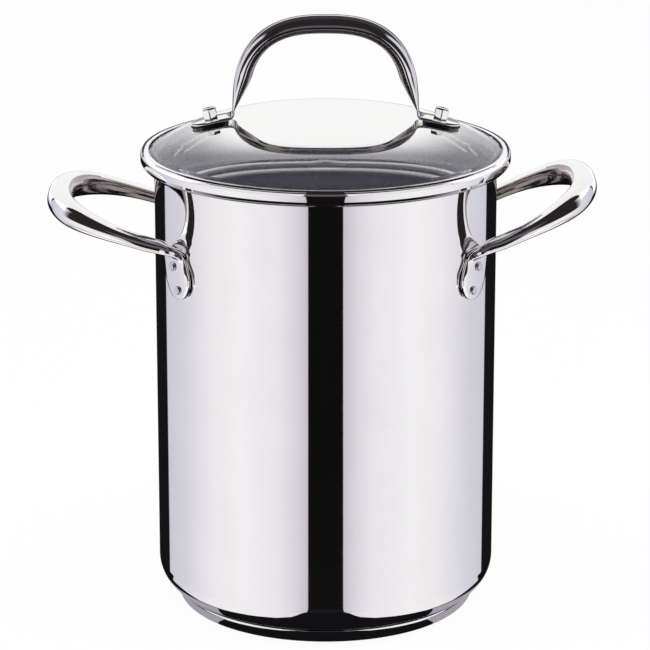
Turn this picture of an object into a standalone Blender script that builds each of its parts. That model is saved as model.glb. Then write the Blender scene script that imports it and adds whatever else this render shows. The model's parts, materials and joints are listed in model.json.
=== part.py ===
"""An asparagus pot: tall spun pot, two riveted loop handles, domed glass lid and lift-out basket.

Lengths are metres and angles are degrees. The pot stands on z = 0, its axis is Z, and its
handles point along -X (left) and +X (right).
"""

import math

import bmesh
import bpy
from mathutils import Matrix, Vector

SEGMENTS = 40  # facets round every large turned piece
SMOOTH_ANGLE = 40  # edges that turn more than this stay sharp
MERGE_DISTANCE = 0.00001  # points nearer than this become one
SEAT = 0.0003  # space left between pieces that rest on each other

# The pot, a spun shell on a capsule base
POT_INNER_RADIUS = 0.0800
POT_WALL = 0.0008
POT_DEPTH = 0.2111  # cooking floor to the top of the lip
BOTTOM_CORNER = 0.0160
FLARE_RADIUS = 0.0025
LIP_REACH = 0.0053  # how far the lip stands out from the wall
LIP_BEAD_RADIUS = 0.0011
CAP_THICKNESS = 0.0005
CAP_RADIUS = 0.0718
CAP_CORNER = 0.0042
CORE_THICKNESS = 0.0045
CORE_MARGIN = 0.0012  # from the core's edge to the cap's inside
CORE_CHAMFER = 0.0022  # height of the chamfer that clears the cap's rounded corner

# The side handles, one cast loop each, with a flat pad at either foot
LEFT_RISE = 16.2  # slope of the left grip
RIGHT_RISE = 23.8  # the right grip is bent up more
PAD_BELOW_LIP = 0.0555  # lip to the lowest point of a pad
PAD_HEIGHT = 0.0180
PAD_WIDTH = 0.0200
PAD_THICKNESS = 0.0026
PAD_LOW_ANGLE = 36.6  # round the wall from the handle's middle, at the foot of a pad
PAD_HIGH_ANGLE = 31.2
BEND_RADIUS = 0.0050
GRIP_SETOFF = 0.0105  # from the pads to where the loop proper begins
GRIP_REACH = 0.0465
GRIP_HALF_SPAN = 0.0448
GRIP_ROUNDNESS = 2.5
NECK_BULGE = 0.08  # how far the neck bows out, as a share of its run
NECK_TAPER = 1.2  # the neck has its ankle's width well before the loop begins
GRIP_TAPER = 1.5
ANKLE_WIDTH = 0.0105
ANKLE_THICKNESS = 0.0062
GRIP_WIDTH = 0.0122
GRIP_THICKNESS = 0.0119
PAD_TIP = 0.06  # share of its width and of its thickness that a pad's rounded foot starts with
PAD_TIP_THICKNESS = 0.5
PAD_SQUARENESS = 4.5  # 2 is an ellipse, more is squarer
ANKLE_SQUARENESS = 2.6
GRIP_SQUARENESS = 2.2

# The rivets, two in each pad
RIVET_SHANK_RADIUS = 0.0014
RIVET_HOLE_CLEARANCE = 0.0003
RIVET_HEAD_RADIUS = 0.0022
RIVET_HEAD_HEIGHT = 0.0005
RIVET_HEAD_SHAPE = ((0.0, 0.6), (0.30, 1.0), (0.72, 0.85), (1.0, 0.0))  # shares, with a dished middle
RIVET_INNER_RADIUS = 0.0032
RIVET_INNER_HEIGHT = 0.0007
RIVET_INNER_TAPER = 0.85
LOW_RIVET_RISE = 0.0042  # above the pad's lowest point
RIVET_SPACING = 0.0104

# The lid
LID_OVERHANG = 0.0011  # how far the band stands out past the lip
BAND_SHEET = 0.0006
BAND_HEIGHT = 0.0050
BAND_SHOULDER = 0.0023
BAND_DROP = 0.0010  # how far the band's outer edge hangs down over the lip
BAND_DRAFT = 0.0003  # how far that edge leans in
BAND_GRIP = 0.0031  # how far the band reaches in over the glass
SKIRT_CLEARANCE = 0.0010
SKIRT_DEPTH = 0.0060
GLASS_THICKNESS = 0.0040
CROWN_RADIUS = 0.3000  # the dome's middle is nearly flat
CROWN_SHARE = 0.596  # share of the dome's reach that the flat middle takes
EDGE_CURVE_RADIUS = 0.0880  # the dome's rounder outer part
GLASS_SHOULDER = 0.0024  # width of the step between the dome and its flat edge
GLASS_STEP = 0.0011
STEP_CURVE = (0.75, 0.15)  # a point on the step's hollow, as shares of its width and height

# The lid's arched handle and its screws
ARCH_HALF_SPAN = 0.0437
ARCH_HEIGHT = 0.0441
ARCH_ROUNDNESS = 2.55
ARCH_WIDTH = 0.0193
ARCH_THICKNESS = 0.0080
ARCH_SWELL = 0.0180  # height over which a leg grows from its foot's thickness to the grip's
ARCH_SWELL_POWER = 1.5  # over 1, the growth slows down towards the grip
ARCH_SQUARENESS = 2.3
FOOT_SQUARENESS = 5.0
LEG_SQUARENESS = 3.0  # where a leg leaves its foot
ARCH_ANKLE_RISE = 0.0057  # glass to where the legs stand upright
FOOT_PULL = 0.9  # how far the ankle's curve follows the foot before it turns up, and the leg above it
LEG_PULL = 0.75
FOOT_WIDTH = 0.0150
FOOT_THICKNESS = 0.0013
FOOT_REACH = 0.0097  # screw to the foot's rounded outer end
SCREW_OFFSET = 0.0096  # from the leg's outside to the screw
HARDWARE_GAP = 0.0001
GASKET_THICKNESS = 0.0006
GASKET_MARGIN = 0.0004
WASHER_RADIUS = 0.0050
WASHER_GAP = 0.0004  # the dome's flats dip a little below its true curve
WASHER_THICKNESS = 0.0011
SCREW_RADIUS = 0.0020
SCREW_CLEARANCE = 0.0003
SCREW_HEAD_RADIUS = 0.0041
SCREW_HEAD_HEIGHT = 0.0020
SCREW_HEAD_EDGE = 0.45  # share of the head's height that is upright
SCREW_HEAD_FACE = 0.72  # radius of the head's flat face, as a share
NUT_CORNER_RADIUS = 0.0036
NUT_HEIGHT = 0.0052
NUT_ROOF = 0.0012
NUT_CHAMFER = 0.0004

# The basket
BASKET_CLEARANCE = 0.0074  # between the basket and the pot's wall
BASKET_SHEET = 0.0006
HOOP_RADIUS = 0.0016
HOOP_BELOW_LIP = 0.0191
BASE_CORNER = 0.0120
BASE_LAP = 0.0070  # how far the base's rim runs up inside the wall
HOLE_COLUMNS = SEGMENTS // 2
HOLE_ROWS = 5
HOLE_RADIUS = 0.0052
HOLE_ROW_PITCH = 0.0260
PLAIN_BAND = 0.0200  # wall without holes under the hoop
BASE_HOLE_RADIUS = 0.0042
BASE_HOLE_PITCH = 0.0210
BASE_HOLE_RINGS = 2
EAR_THICKNESS = 0.0012
EAR_WIDTH = 0.0090
EAR_LENGTH = 0.0145
EAR_CORNER = 0.0034
BAIL_WIRE_RADIUS = 0.0013
BAIL_LIFT = 0.0003  # over the hoop, where the bail lies folded
BAIL_SLOPE = 0.6  # the folded bail rises a little to the back
BAIL_BEND = 0.0025
BAIL_ARC_START = 0.0060  # length of the bow's arc that its bend takes up
BAIL_PIVOT_CLEARANCE = 0.0003
BAIL_END = 0.0030  # wire left inside the ears
KINK_WIDTH = 0.0165
KINK_SHOULDER = (0.45, 0.62)  # where the kink's side bends, as shares of its half width and depth
KINK_CLEARANCE = 0.0009

# Heights and radii that follow from the sizes above
POT_OUTER_RADIUS = POT_INNER_RADIUS + POT_WALL
CORE_BOTTOM = CAP_THICKNESS + SEAT
CORE_TOP = CORE_BOTTOM + CORE_THICKNESS
SHELL_UNDERSIDE = CORE_TOP + SEAT
FLOOR = SHELL_UNDERSIDE + POT_WALL
LIP_TOP = FLOOR + POT_DEPTH
LIP_RADIUS = POT_OUTER_RADIUS + LIP_REACH
BAND_BOTTOM = LIP_TOP + SEAT
BAND_TOP = BAND_BOTTOM + BAND_HEIGHT
BAND_RADIUS = LIP_RADIUS + LID_OVERHANG
GLASS_RADIUS = BAND_RADIUS - BAND_SHEET - SEAT
FLANGE_BOTTOM = BAND_BOTTOM + BAND_SHEET + SEAT
FLANGE_TOP = BAND_TOP - BAND_SHEET - SEAT
DOME_EDGE_RADIUS = GLASS_RADIUS - BAND_GRIP - GLASS_SHOULDER - SEAT
CROWN_REACH = CROWN_SHARE * DOME_EDGE_RADIUS
CROWN_SLOPE = math.asin(CROWN_REACH / CROWN_RADIUS)
CURVE_MIDDLE = CROWN_REACH - EDGE_CURVE_RADIUS * math.sin(CROWN_SLOPE)
DOME_EDGE_SLOPE = math.asin((DOME_EDGE_RADIUS - CURVE_MIDDLE) / EDGE_CURVE_RADIUS)
CURVE_CENTRE = FLANGE_TOP + GLASS_STEP - EDGE_CURVE_RADIUS * math.cos(DOME_EDGE_SLOPE)
CROWN_CENTRE = CURVE_CENTRE - (CROWN_RADIUS - EDGE_CURVE_RADIUS) * math.cos(CROWN_SLOPE)
SCREW_PLACE = ARCH_HALF_SPAN + SCREW_OFFSET
FOOT_BASE = 2 * HARDWARE_GAP + GASKET_THICKNESS
FOOT_MIDDLE = FOOT_BASE + FOOT_THICKNESS / 2
NUT_BASE = FOOT_BASE + FOOT_THICKNESS + HARDWARE_GAP
WASHER_TOP = -GLASS_THICKNESS - WASHER_GAP
BASKET_RADIUS = POT_INNER_RADIUS - BASKET_CLEARANCE
HOOP_MIDDLE = BASKET_RADIUS - BASKET_SHEET / 2
HOOP_TOP = LIP_TOP - HOOP_BELOW_LIP
HOOP_HEIGHT = HOOP_TOP - HOOP_RADIUS
BASKET_BOTTOM = FLOOR + SEAT
BASE_RADIUS = BASKET_RADIUS - BASKET_SHEET - SEAT
WALL_BOTTOM = BASKET_BOTTOM + BASE_CORNER
WALL_TOP = HOOP_HEIGHT - HOOP_RADIUS - SEAT
EAR_FACE = (HOOP_MIDDLE - HOOP_RADIUS) * math.cos(math.pi / SEGMENTS) - SEAT
PIVOT_HEIGHT = HOOP_TOP + BAIL_LIFT + BAIL_WIRE_RADIUS
BAIL_RADIUS = EAR_FACE + SEAT + BAIL_BEND
KINK_DEPTH = POT_INNER_RADIUS - KINK_CLEARANCE - BAIL_WIRE_RADIUS - BAIL_RADIUS
PAD_BOTTOM = LIP_TOP - PAD_BELOW_LIP
PAD_OFFSET = POT_OUTER_RADIUS + SEAT + PAD_THICKNESS / 2


def clear_scene():
    for item in list(bpy.data.objects):
        bpy.data.objects.remove(item, do_unlink=True)


def new_collection(name):
    collection = bpy.data.collections.new(name)
    bpy.context.scene.collection.children.link(collection)
    return collection


def new_material(name, colour, metallic, roughness, transmission=0.0):
    material = bpy.data.materials.new(name)
    material.use_nodes = True
    shader = material.node_tree.nodes["Principled BSDF"]
    shader.inputs["Base Color"].default_value = (*colour, 1.0)
    shader.inputs["Metallic"].default_value = metallic
    shader.inputs["Roughness"].default_value = roughness
    shader.inputs["Transmission Weight"].default_value = transmission
    return material


clear_scene()
PARTS = new_collection("asparagus_pot")
CUTTERS = new_collection("cutters")
POLISHED = new_material("polished_steel", (0.88, 0.87, 0.88), 1.0, 0.05)
SATIN = new_material("satin_steel", (0.70, 0.70, 0.71), 1.0, 0.22)
ALUMINIUM = new_material("aluminium", (0.80, 0.81, 0.82), 1.0, 0.40)
GLASS = new_material("clear_glass", (0.97, 0.99, 0.98), 0.0, 0.02, 1.0)
SILICONE = new_material("black_silicone", (0.03, 0.03, 0.03), 0.0, 0.55)


def arc(centre, radius, start, end, steps):
    """Points (radius, height) on an arc, from the start angle to the end angle."""
    points = []
    for step in range(steps + 1):
        angle = math.radians(start + (end - start) * step / steps)
        points.append((centre[0] + radius * math.cos(angle), centre[1] + radius * math.sin(angle)))
    return points


def blend(low, high, share):
    """Eased step from low to high as share goes from 0 to 1."""
    share = min(max(share, 0.0), 1.0)
    return low + (high - low) * share * share * (3 - 2 * share)


def add_object(name, mesh, material, collection=PARTS):
    item = bpy.data.objects.new(name, mesh)
    collection.objects.link(item)
    if material:
        mesh.materials.append(material)
    return item


def mesh_from(name, build_mesh):
    """Makes a mesh from a bmesh turned outwards and shaded smooth."""
    bmesh.ops.recalc_face_normals(build_mesh, faces=build_mesh.faces)
    mesh = bpy.data.meshes.new(name)
    build_mesh.to_mesh(mesh)
    build_mesh.free()
    mesh.shade_smooth()
    mesh.set_sharp_from_angle(angle=math.radians(SMOOTH_ANGLE))
    return mesh


def turned_mesh(name, profile, segments=SEGMENTS, closed=False):
    """Spins a profile of (radius, height) points round Z and returns the finished mesh."""
    outline = bpy.data.meshes.new(name)
    count = len(profile)
    edges = [(i, (i + 1) % count) for i in range(count if closed else count - 1)]
    outline.from_pydata([(radius, 0.0, height) for radius, height in profile], edges, [])
    item = add_object(name, outline, None)
    spin = item.modifiers.new("spin", "SCREW")
    spin.steps = segments
    spin.render_steps = segments
    spin.use_merge_vertices = True
    spin.merge_threshold = MERGE_DISTANCE
    spin.use_smooth_shade = True
    graph = bpy.context.evaluated_depsgraph_get()
    mesh = bpy.data.meshes.new_from_object(item.evaluated_get(graph))
    bpy.data.objects.remove(item, do_unlink=True)
    mesh.name = name
    mesh.set_sharp_from_angle(angle=math.radians(SMOOTH_ANGLE))
    return mesh


def turned(name, profile, material, closed=False):
    return add_object(name, turned_mesh(name, profile, closed=closed), material)


def cut(item, cutter):
    """Takes the cutter's shape out of an item and leaves the cutter hidden."""
    cutter.hide_render = True
    cutter.display_type = "WIRE"
    boolean = item.modifiers.new("cut", "BOOLEAN")
    boolean.operation = "DIFFERENCE"
    boolean.solver = "EXACT"
    boolean.object = cutter


def round_cutter(name, radius, length, place, sides=12):
    """A cylinder centred on its place, along the place's own Z."""
    build_mesh = bmesh.new()
    bmesh.ops.create_cone(
        build_mesh, cap_ends=True, segments=sides, radius1=radius, radius2=radius, depth=length
    )
    cutter = add_object(name, mesh_from(name, build_mesh), None, CUTTERS)
    cutter.matrix_world = place
    return cutter


def ring(centre, across, through, width, thickness, squareness, sides=12):
    """One rounded cross-section of a strap, as points round its centre."""
    points = []
    for side in range(sides):
        angle = 2 * math.pi * (side + 0.5) / sides
        along_width = math.copysign(abs(math.cos(angle)) ** (2 / squareness), math.cos(angle))
        along_depth = math.copysign(abs(math.sin(angle)) ** (2 / squareness), math.sin(angle))
        points.append(centre + across * (along_width * width / 2) + through * (along_depth * thickness / 2))
    return points


def loft(name, rings, cap_end=False):
    """Skins a row of cross-sections. The start is capped, and the end where that is asked for."""
    build_mesh = bmesh.new()
    rows = [[build_mesh.verts.new(point) for point in points] for points in rings]
    for near, far in zip(rows, rows[1:]):
        for side in range(len(near)):
            after = (side + 1) % len(near)
            build_mesh.faces.new((near[side], near[after], far[after], far[side]))
    build_mesh.faces.new(rows[0][::-1])
    if cap_end:
        build_mesh.faces.new(rows[-1])
    return mesh_from(name, build_mesh)


def mirrored(name, mesh, material, axis):
    """A piece whose half is open at the plane and closed by its mirror image."""
    item = add_object(name, mesh, material)
    mirror = item.modifiers.new("mirror", "MIRROR")
    for index in range(3):
        mirror.use_axis[index] = index == axis
    mirror.merge_threshold = MERGE_DISTANCE
    return item


# The pot's shell, its aluminium core and the cap that closes the base


def shell_underside_at(radius):
    """Height of the shell's outside at a radius within its rounded bottom corner."""
    inset = max(radius - (POT_OUTER_RADIUS - BOTTOM_CORNER), 0.0)
    return SHELL_UNDERSIDE + BOTTOM_CORNER - math.sqrt(BOTTOM_CORNER**2 - inset**2)


def make_shell():
    corner = (POT_OUTER_RADIUS - BOTTOM_CORNER, SHELL_UNDERSIDE + BOTTOM_CORNER)
    flare = (POT_OUTER_RADIUS + FLARE_RADIUS, LIP_TOP - POT_WALL - FLARE_RADIUS)
    bead = (LIP_RADIUS - LIP_BEAD_RADIUS, LIP_TOP - LIP_BEAD_RADIUS)
    profile = [(0.0, FLOOR)]
    profile += arc(corner, BOTTOM_CORNER - POT_WALL, -90, 0, 4)
    profile += arc(flare, FLARE_RADIUS + POT_WALL, 180, 90, 2)
    profile += arc(bead, LIP_BEAD_RADIUS, 90, -130, 5)
    profile += arc(flare, FLARE_RADIUS, 90, 180, 2)
    profile += arc(corner, BOTTOM_CORNER, 0, -90, 4)
    profile += [(0.0, SHELL_UNDERSIDE)]
    return turned("pot_shell", profile, POLISHED)


def make_base():
    inner = CAP_RADIUS - CAP_THICKNESS
    cap_top = shell_underside_at(inner) - SEAT
    corner = (CAP_RADIUS - CAP_CORNER, CAP_CORNER)
    profile = [(0.0, CAP_THICKNESS)]
    profile += arc(corner, CAP_CORNER - CAP_THICKNESS, -90, 0, 2)
    profile += [(inner, cap_top), (CAP_RADIUS, cap_top)]
    profile += arc(corner, CAP_CORNER, 0, -90, 3)
    profile += [(0.0, 0.0)]
    turned("base_cap", profile, POLISHED)
    core_radius = inner - CORE_MARGIN
    slope = CAP_CORNER - CAP_THICKNESS
    core = [
        (0.0, CORE_TOP),
        (core_radius, CORE_TOP),
        (core_radius, CORE_BOTTOM + CORE_CHAMFER),
        (core_radius - slope, CORE_BOTTOM),
        (0.0, CORE_BOTTOM),
    ]
    turned("core_disc", core, ALUMINIUM)


# The side handles and their rivets


def wall_direction(angle):
    return Vector((math.cos(math.radians(angle)), math.sin(math.radians(angle)), 0.0))


def pad_angle(height):
    share = (height - PAD_BOTTOM) / PAD_HEIGHT
    return PAD_LOW_ANGLE + (PAD_HIGH_ANGLE - PAD_LOW_ANGLE) * share


def grip_centres(rise):
    """The strap's middle line from the foot of a pad to the tip of the loop, each with its stage.

    A stage under 1 lies on the wall, from 1 to 2 in the bend and neck, and from 2 to 3 in the loop.
    """
    centres = []
    for distance in (0.0, 0.02, 0.1, 0.25, 0.5, 0.8, 1.0):
        height = PAD_BOTTOM + distance * PAD_HEIGHT
        centres.append((distance, wall_direction(pad_angle(height)) * PAD_OFFSET + Vector((0, 0, height))))
    outward = wall_direction(PAD_HIGH_ANGLE)
    pad_top = centres[-1][1]
    turn = math.radians(90 - rise)
    for step in (1, 2, 3):
        angle = turn * step / 3
        out = BEND_RADIUS * (1 - math.cos(angle))
        up = BEND_RADIUS * math.sin(angle)
        centres.append((1 + 0.2 * step, pad_top + outward * out + Vector((0, 0, up))))
    bend_end = centres[-1][1]
    slope = math.tan(math.radians(rise))
    root_x = PAD_OFFSET * math.cos(math.radians(PAD_HIGH_ANGLE)) + GRIP_SETOFF
    run = root_x - bend_end.x
    root = Vector((root_x, GRIP_HALF_SPAN, bend_end.z + run * slope))
    middle = (bend_end + root) / 2 + Vector((-run, GRIP_HALF_SPAN - bend_end.y, 0.0)) * NECK_BULGE
    centres.append((1.8, middle))
    steps = 8
    power = 2 / GRIP_ROUNDNESS
    for step in range(steps + 1):
        angle = math.pi / 2 * (1 - step / steps)
        along = GRIP_REACH * math.cos(angle) ** power if step else 0.0
        aside = GRIP_HALF_SPAN * math.sin(angle) ** power if step < steps else 0.0
        out = along * math.cos(math.radians(rise))
        up = along * math.sin(math.radians(rise))
        centres.append((2 + step / steps, Vector((root.x + out, aside, root.z + up))))
    return centres


def grip_section(stage):
    """Width, thickness and squareness of the strap at a stage."""
    if stage < 1:
        drop = min(stage * PAD_HEIGHT / (PAD_WIDTH / 2), 1.0)
        rounded = max(math.sqrt(1 - (1 - drop) ** 2), PAD_TIP)
        return PAD_WIDTH * rounded, PAD_THICKNESS * max(rounded, PAD_TIP_THICKNESS), PAD_SQUARENESS
    if stage < 2:
        share = stage - 1
        width = blend(PAD_WIDTH, ANKLE_WIDTH, share * NECK_TAPER)
        thickness = blend(PAD_THICKNESS, ANKLE_THICKNESS, share)
        return width, thickness, blend(PAD_SQUARENESS, ANKLE_SQUARENESS, share)
    share = (stage - 2) * GRIP_TAPER
    width = blend(ANKLE_WIDTH, GRIP_WIDTH, share)
    thickness = blend(ANKLE_THICKNESS, GRIP_THICKNESS, share)
    return width, thickness, blend(ANKLE_SQUARENESS, GRIP_SQUARENESS, share)


def handle_rings(rise):
    centres = grip_centres(rise)
    tilt = math.radians(rise)
    plane_up = Vector((-math.sin(tilt), 0.0, math.cos(tilt)))
    rings = []
    for index, (stage, centre) in enumerate(centres):
        before = centres[max(index - 1, 0)][1]
        after = centres[min(index + 1, len(centres) - 1)][1]
        heading = (after - before).normalized()
        if index == len(centres) - 1:
            heading = Vector((0.0, -1.0, 0.0))
        flat_to_wall = 1 - min(max(stage - 1, 0.0), 1.0)
        radial = Vector((centre.x, centre.y, 0.0)).normalized()
        round_wall = Vector((-radial.y, radial.x, 0.0))
        across = round_wall * flat_to_wall + heading.cross(-plane_up) * (1 - flat_to_wall)
        across = (across - heading * across.dot(heading)).normalized()
        through = heading.cross(across)
        width, thickness, squareness = grip_section(stage)
        points = ring(centre, across, through, width, thickness, squareness)
        for number, point in enumerate(points):
            aside = (point - centre).dot(across)
            points[number] = point - radial * (flat_to_wall * aside * aside / (2 * PAD_OFFSET))
        rings.append(points)
    return rings


def rivet_places():
    """Name, angle from the handle's middle and height of each rivet of one handle."""
    places = []
    for side, sign in (("rear", 1), ("front", -1)):
        for level, rise in (("lower", LOW_RIVET_RISE), ("upper", LOW_RIVET_RISE + RIVET_SPACING)):
            height = PAD_BOTTOM + rise
            places.append((f"{side}_{level}", sign * pad_angle(height), height))
    return places


def rivet_frame(angle, height):
    """A rivet's own Z points out of the wall, with z = 0 on the wall's outside."""
    outward = wall_direction(angle)
    spot = outward * POT_OUTER_RADIUS + Vector((0, 0, height))
    return Matrix.Translation(spot) @ outward.to_track_quat("Z", "Y").to_matrix().to_4x4()


def make_rivet_mesh():
    head_base = 2 * SEAT + PAD_THICKNESS
    inner_face = -POT_WALL - 2 * SEAT
    profile = [
        (RIVET_HEAD_RADIUS * across, head_base + RIVET_HEAD_HEIGHT * up) for across, up in RIVET_HEAD_SHAPE
    ]
    profile += [
        (RIVET_SHANK_RADIUS, head_base),
        (RIVET_SHANK_RADIUS, inner_face),
        (RIVET_INNER_RADIUS, inner_face),
        (RIVET_INNER_RADIUS * RIVET_INNER_TAPER, inner_face - RIVET_INNER_HEIGHT),
        (0.0, inner_face - RIVET_INNER_HEIGHT),
    ]
    return turned_mesh("rivet", profile, segments=8)


def make_handles(shell):
    rivet_mesh = make_rivet_mesh()
    hole_radius = RIVET_SHANK_RADIUS + RIVET_HOLE_CLEARANCE
    hole_length = 4 * (PAD_THICKNESS + POT_WALL)
    for side, rise, turn in (("left", LEFT_RISE, 180), ("right", RIGHT_RISE, 0)):
        about = Matrix.Rotation(math.radians(turn), 4, "Z")
        handle = mirrored(f"handle_{side}", loft(f"handle_{side}", handle_rings(rise)), POLISHED, 1)
        handle.matrix_world = about
        for spot, angle, height in rivet_places():
            angle = -angle if turn else angle
            place = about @ rivet_frame(angle, height)
            rivet = add_object(f"rivet_{side}_{spot}", rivet_mesh, None)
            rivet.matrix_world = place
            cutter = round_cutter(f"hole_{side}_{spot}", hole_radius, hole_length, place, sides=10)
            cut(handle, cutter)
            cut(shell, cutter)
    rivet_mesh.materials.append(SATIN)


# The lid: glass dome, steel band, arched handle and the screws that hold it


def dome_at(radius):
    """Height and slope of the glass's outside at a radius."""
    if radius < CROWN_REACH:
        slope = math.asin(radius / CROWN_RADIUS)
        return CROWN_CENTRE + CROWN_RADIUS * math.cos(slope), slope
    slope = math.asin((radius - CURVE_MIDDLE) / EDGE_CURVE_RADIUS)
    return CURVE_CENTRE + EDGE_CURVE_RADIUS * math.cos(slope), slope


def dome_points(depth, end_slope, crown_steps, curve_steps):
    """Points from the dome's middle out to a slope, on the surface a depth under its outside."""
    crown = CROWN_RADIUS - depth
    curve = EDGE_CURVE_RADIUS - depth
    points = []
    for step in range(crown_steps):
        angle = CROWN_SLOPE * step / crown_steps
        points.append((crown * math.sin(angle), CROWN_CENTRE + crown * math.cos(angle)))
    for step in range(curve_steps + 1):
        angle = CROWN_SLOPE + (end_slope - CROWN_SLOPE) * step / curve_steps
        points.append((CURVE_MIDDLE + curve * math.sin(angle), CURVE_CENTRE + curve * math.cos(angle)))
    return points


def screw_frame(side):
    """The screw's own Z leans out with the glass, and z = 0 is the glass's outside."""
    height, slope = dome_at(SCREW_PLACE)
    spot = Vector((SCREW_PLACE, 0.0, height))
    lean = Matrix.Rotation(slope, 4, "Y")
    about = Matrix.Rotation(math.pi if side == "left" else 0.0, 4, "Z")
    return about @ Matrix.Translation(spot) @ lean


def make_glass():
    inner_slope = math.acos((FLANGE_BOTTOM - CURVE_CENTRE) / (EDGE_CURVE_RADIUS - GLASS_THICKNESS))
    profile = dome_points(0.0, DOME_EDGE_SLOPE, 3, 4)
    profile += [(DOME_EDGE_RADIUS + GLASS_SHOULDER * STEP_CURVE[0], FLANGE_TOP + GLASS_STEP * STEP_CURVE[1])]
    profile += [(DOME_EDGE_RADIUS + GLASS_SHOULDER, FLANGE_TOP)]
    profile += [(GLASS_RADIUS, FLANGE_TOP), (GLASS_RADIUS, FLANGE_BOTTOM)]
    profile += dome_points(GLASS_THICKNESS, inner_slope, 3, 3)[::-1]
    return turned("lid_glass", profile, GLASS)


def make_band():
    sheet = BAND_SHEET
    shoulder = (BAND_RADIUS - BAND_SHOULDER, BAND_TOP - BAND_SHOULDER)
    reach_in = GLASS_RADIUS - BAND_GRIP
    skirt = POT_INNER_RADIUS - SKIRT_CLEARANCE
    skirt_foot = BAND_BOTTOM - SKIRT_DEPTH
    profile = [(reach_in, BAND_TOP)]
    profile += arc(shoulder, BAND_SHOULDER, 90, 0, 3)
    edge_foot = BAND_BOTTOM - BAND_DROP
    profile += [(BAND_RADIUS, BAND_BOTTOM), (BAND_RADIUS - BAND_DRAFT, edge_foot)]
    profile += [(BAND_RADIUS - sheet, edge_foot), (BAND_RADIUS - sheet, BAND_BOTTOM)]
    profile += [(skirt, BAND_BOTTOM), (skirt, skirt_foot)]
    profile += [(skirt - sheet, skirt_foot), (skirt - sheet, BAND_BOTTOM + sheet)]
    profile += [(BAND_RADIUS - sheet, BAND_BOTTOM + sheet)]
    profile += [(BAND_RADIUS - sheet, FLANGE_TOP + SEAT), (reach_in, FLANGE_TOP + SEAT)]
    return turned("lid_band", profile, POLISHED, closed=True)


def arch_centres():
    """The arch's middle line from the outer end of a foot to the top, as (x, z, thickness, width)."""
    height, lean = dome_at(SCREW_PLACE)
    out = Vector((math.cos(lean), 0.0, -math.sin(lean)))
    up = Vector((math.sin(lean), 0.0, math.cos(lean)))
    spot = Vector((SCREW_PLACE, 0.0, height)) + up * FOOT_MIDDLE
    spring = dome_at(ARCH_HALF_SPAN)[0] + ARCH_ANKLE_RISE
    centres = []
    for distance in (0.02, 0.15, 0.45, 1.0, 1.6):
        rounded = math.sqrt(1 - (1 - min(distance, 1.0)) ** 2)
        centre = spot + out * (FOOT_REACH - distance * FOOT_WIDTH / 2)
        centres.append((centre, FOOT_THICKNESS, FOOT_WIDTH * rounded, FOOT_SQUARENESS))
    start = centres[-1][0]
    root = Vector((ARCH_HALF_SPAN - FOOT_THICKNESS / 2, 0.0, spring))
    pull = (start.x - root.x) * FOOT_PULL
    guides = (start, start - out * pull, root - Vector((0, 0, ARCH_ANKLE_RISE * LEG_PULL)), root)
    for share in (0.3, 0.5, 0.7, 0.88):
        rest = 1 - share
        centre = guides[0] * rest**3 + guides[1] * (3 * share * rest**2)
        centre += guides[2] * (3 * share**2 * rest) + guides[3] * share**3
        squareness = FOOT_SQUARENESS + (LEG_SQUARENESS - FOOT_SQUARENESS) * share
        centres.append((centre, FOOT_THICKNESS, FOOT_WIDTH, squareness))
    steps = 11
    power = 2 / ARCH_ROUNDNESS
    for step in range(steps + 1):
        angle = math.pi / 2 * step / steps
        x = ARCH_HALF_SPAN * math.cos(angle) ** power if step < steps else 0.0
        rise = ARCH_HEIGHT * math.sin(angle) ** power if step else 0.0
        slope_x = x / ARCH_HALF_SPAN
        slope_z = rise / ARCH_HEIGHT
        slope_x = slope_x ** (ARCH_ROUNDNESS - 1) / ARCH_HALF_SPAN
        slope_z = slope_z ** (ARCH_ROUNDNESS - 1) / ARCH_HEIGHT
        normal = Vector((slope_x, 0.0, slope_z)).normalized()
        growth = 1 - (1 - min(rise / ARCH_SWELL, 1.0)) ** ARCH_SWELL_POWER
        thickness = FOOT_THICKNESS + (ARCH_THICKNESS - FOOT_THICKNESS) * growth
        width = blend(FOOT_WIDTH, ARCH_WIDTH, step / steps)
        squareness = LEG_SQUARENESS + (ARCH_SQUARENESS - LEG_SQUARENESS) * growth
        outside = Vector((x, 0.0, spring + rise))
        centres.append((outside - normal * thickness / 2, thickness, width, squareness))
    return centres


def make_lid_handle():
    centres = arch_centres()
    across = Vector((0.0, 1.0, 0.0))
    rings = []
    for index, (centre, thickness, width, squareness) in enumerate(centres):
        before = centres[max(index - 1, 0)][0]
        after = centres[min(index + 1, len(centres) - 1)][0]
        heading = (after - before).normalized()
        if index == len(centres) - 1:
            heading = Vector((-1.0, 0.0, 0.0))
        rings.append(ring(centre, across, heading.cross(across), width, thickness, squareness))
    return mirrored("lid_handle", loft("lid_handle", rings), POLISHED, 0)


def make_gasket_mesh():
    """A pad under the foot, a disc drawn out so that its end follows the foot's round end."""
    build_mesh = bmesh.new()
    radius = FOOT_WIDTH / 2 + GASKET_MARGIN
    bmesh.ops.create_cone(
        build_mesh, cap_ends=True, segments=20, radius1=radius, radius2=radius, depth=GASKET_THICKNESS
    )
    for vertex in build_mesh.verts:
        if vertex.co.x > 0:
            vertex.co.x += FOOT_REACH - FOOT_WIDTH / 2
    raise_by = Matrix.Translation((0, 0, HARDWARE_GAP + GASKET_THICKNESS / 2))
    bmesh.ops.transform(build_mesh, matrix=raise_by, verts=build_mesh.verts)
    return mesh_from("gasket", build_mesh)


def ring_profile(inner, outer, low, high):
    return [(inner, high), (outer, high), (outer, low), (inner, low)]


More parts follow.
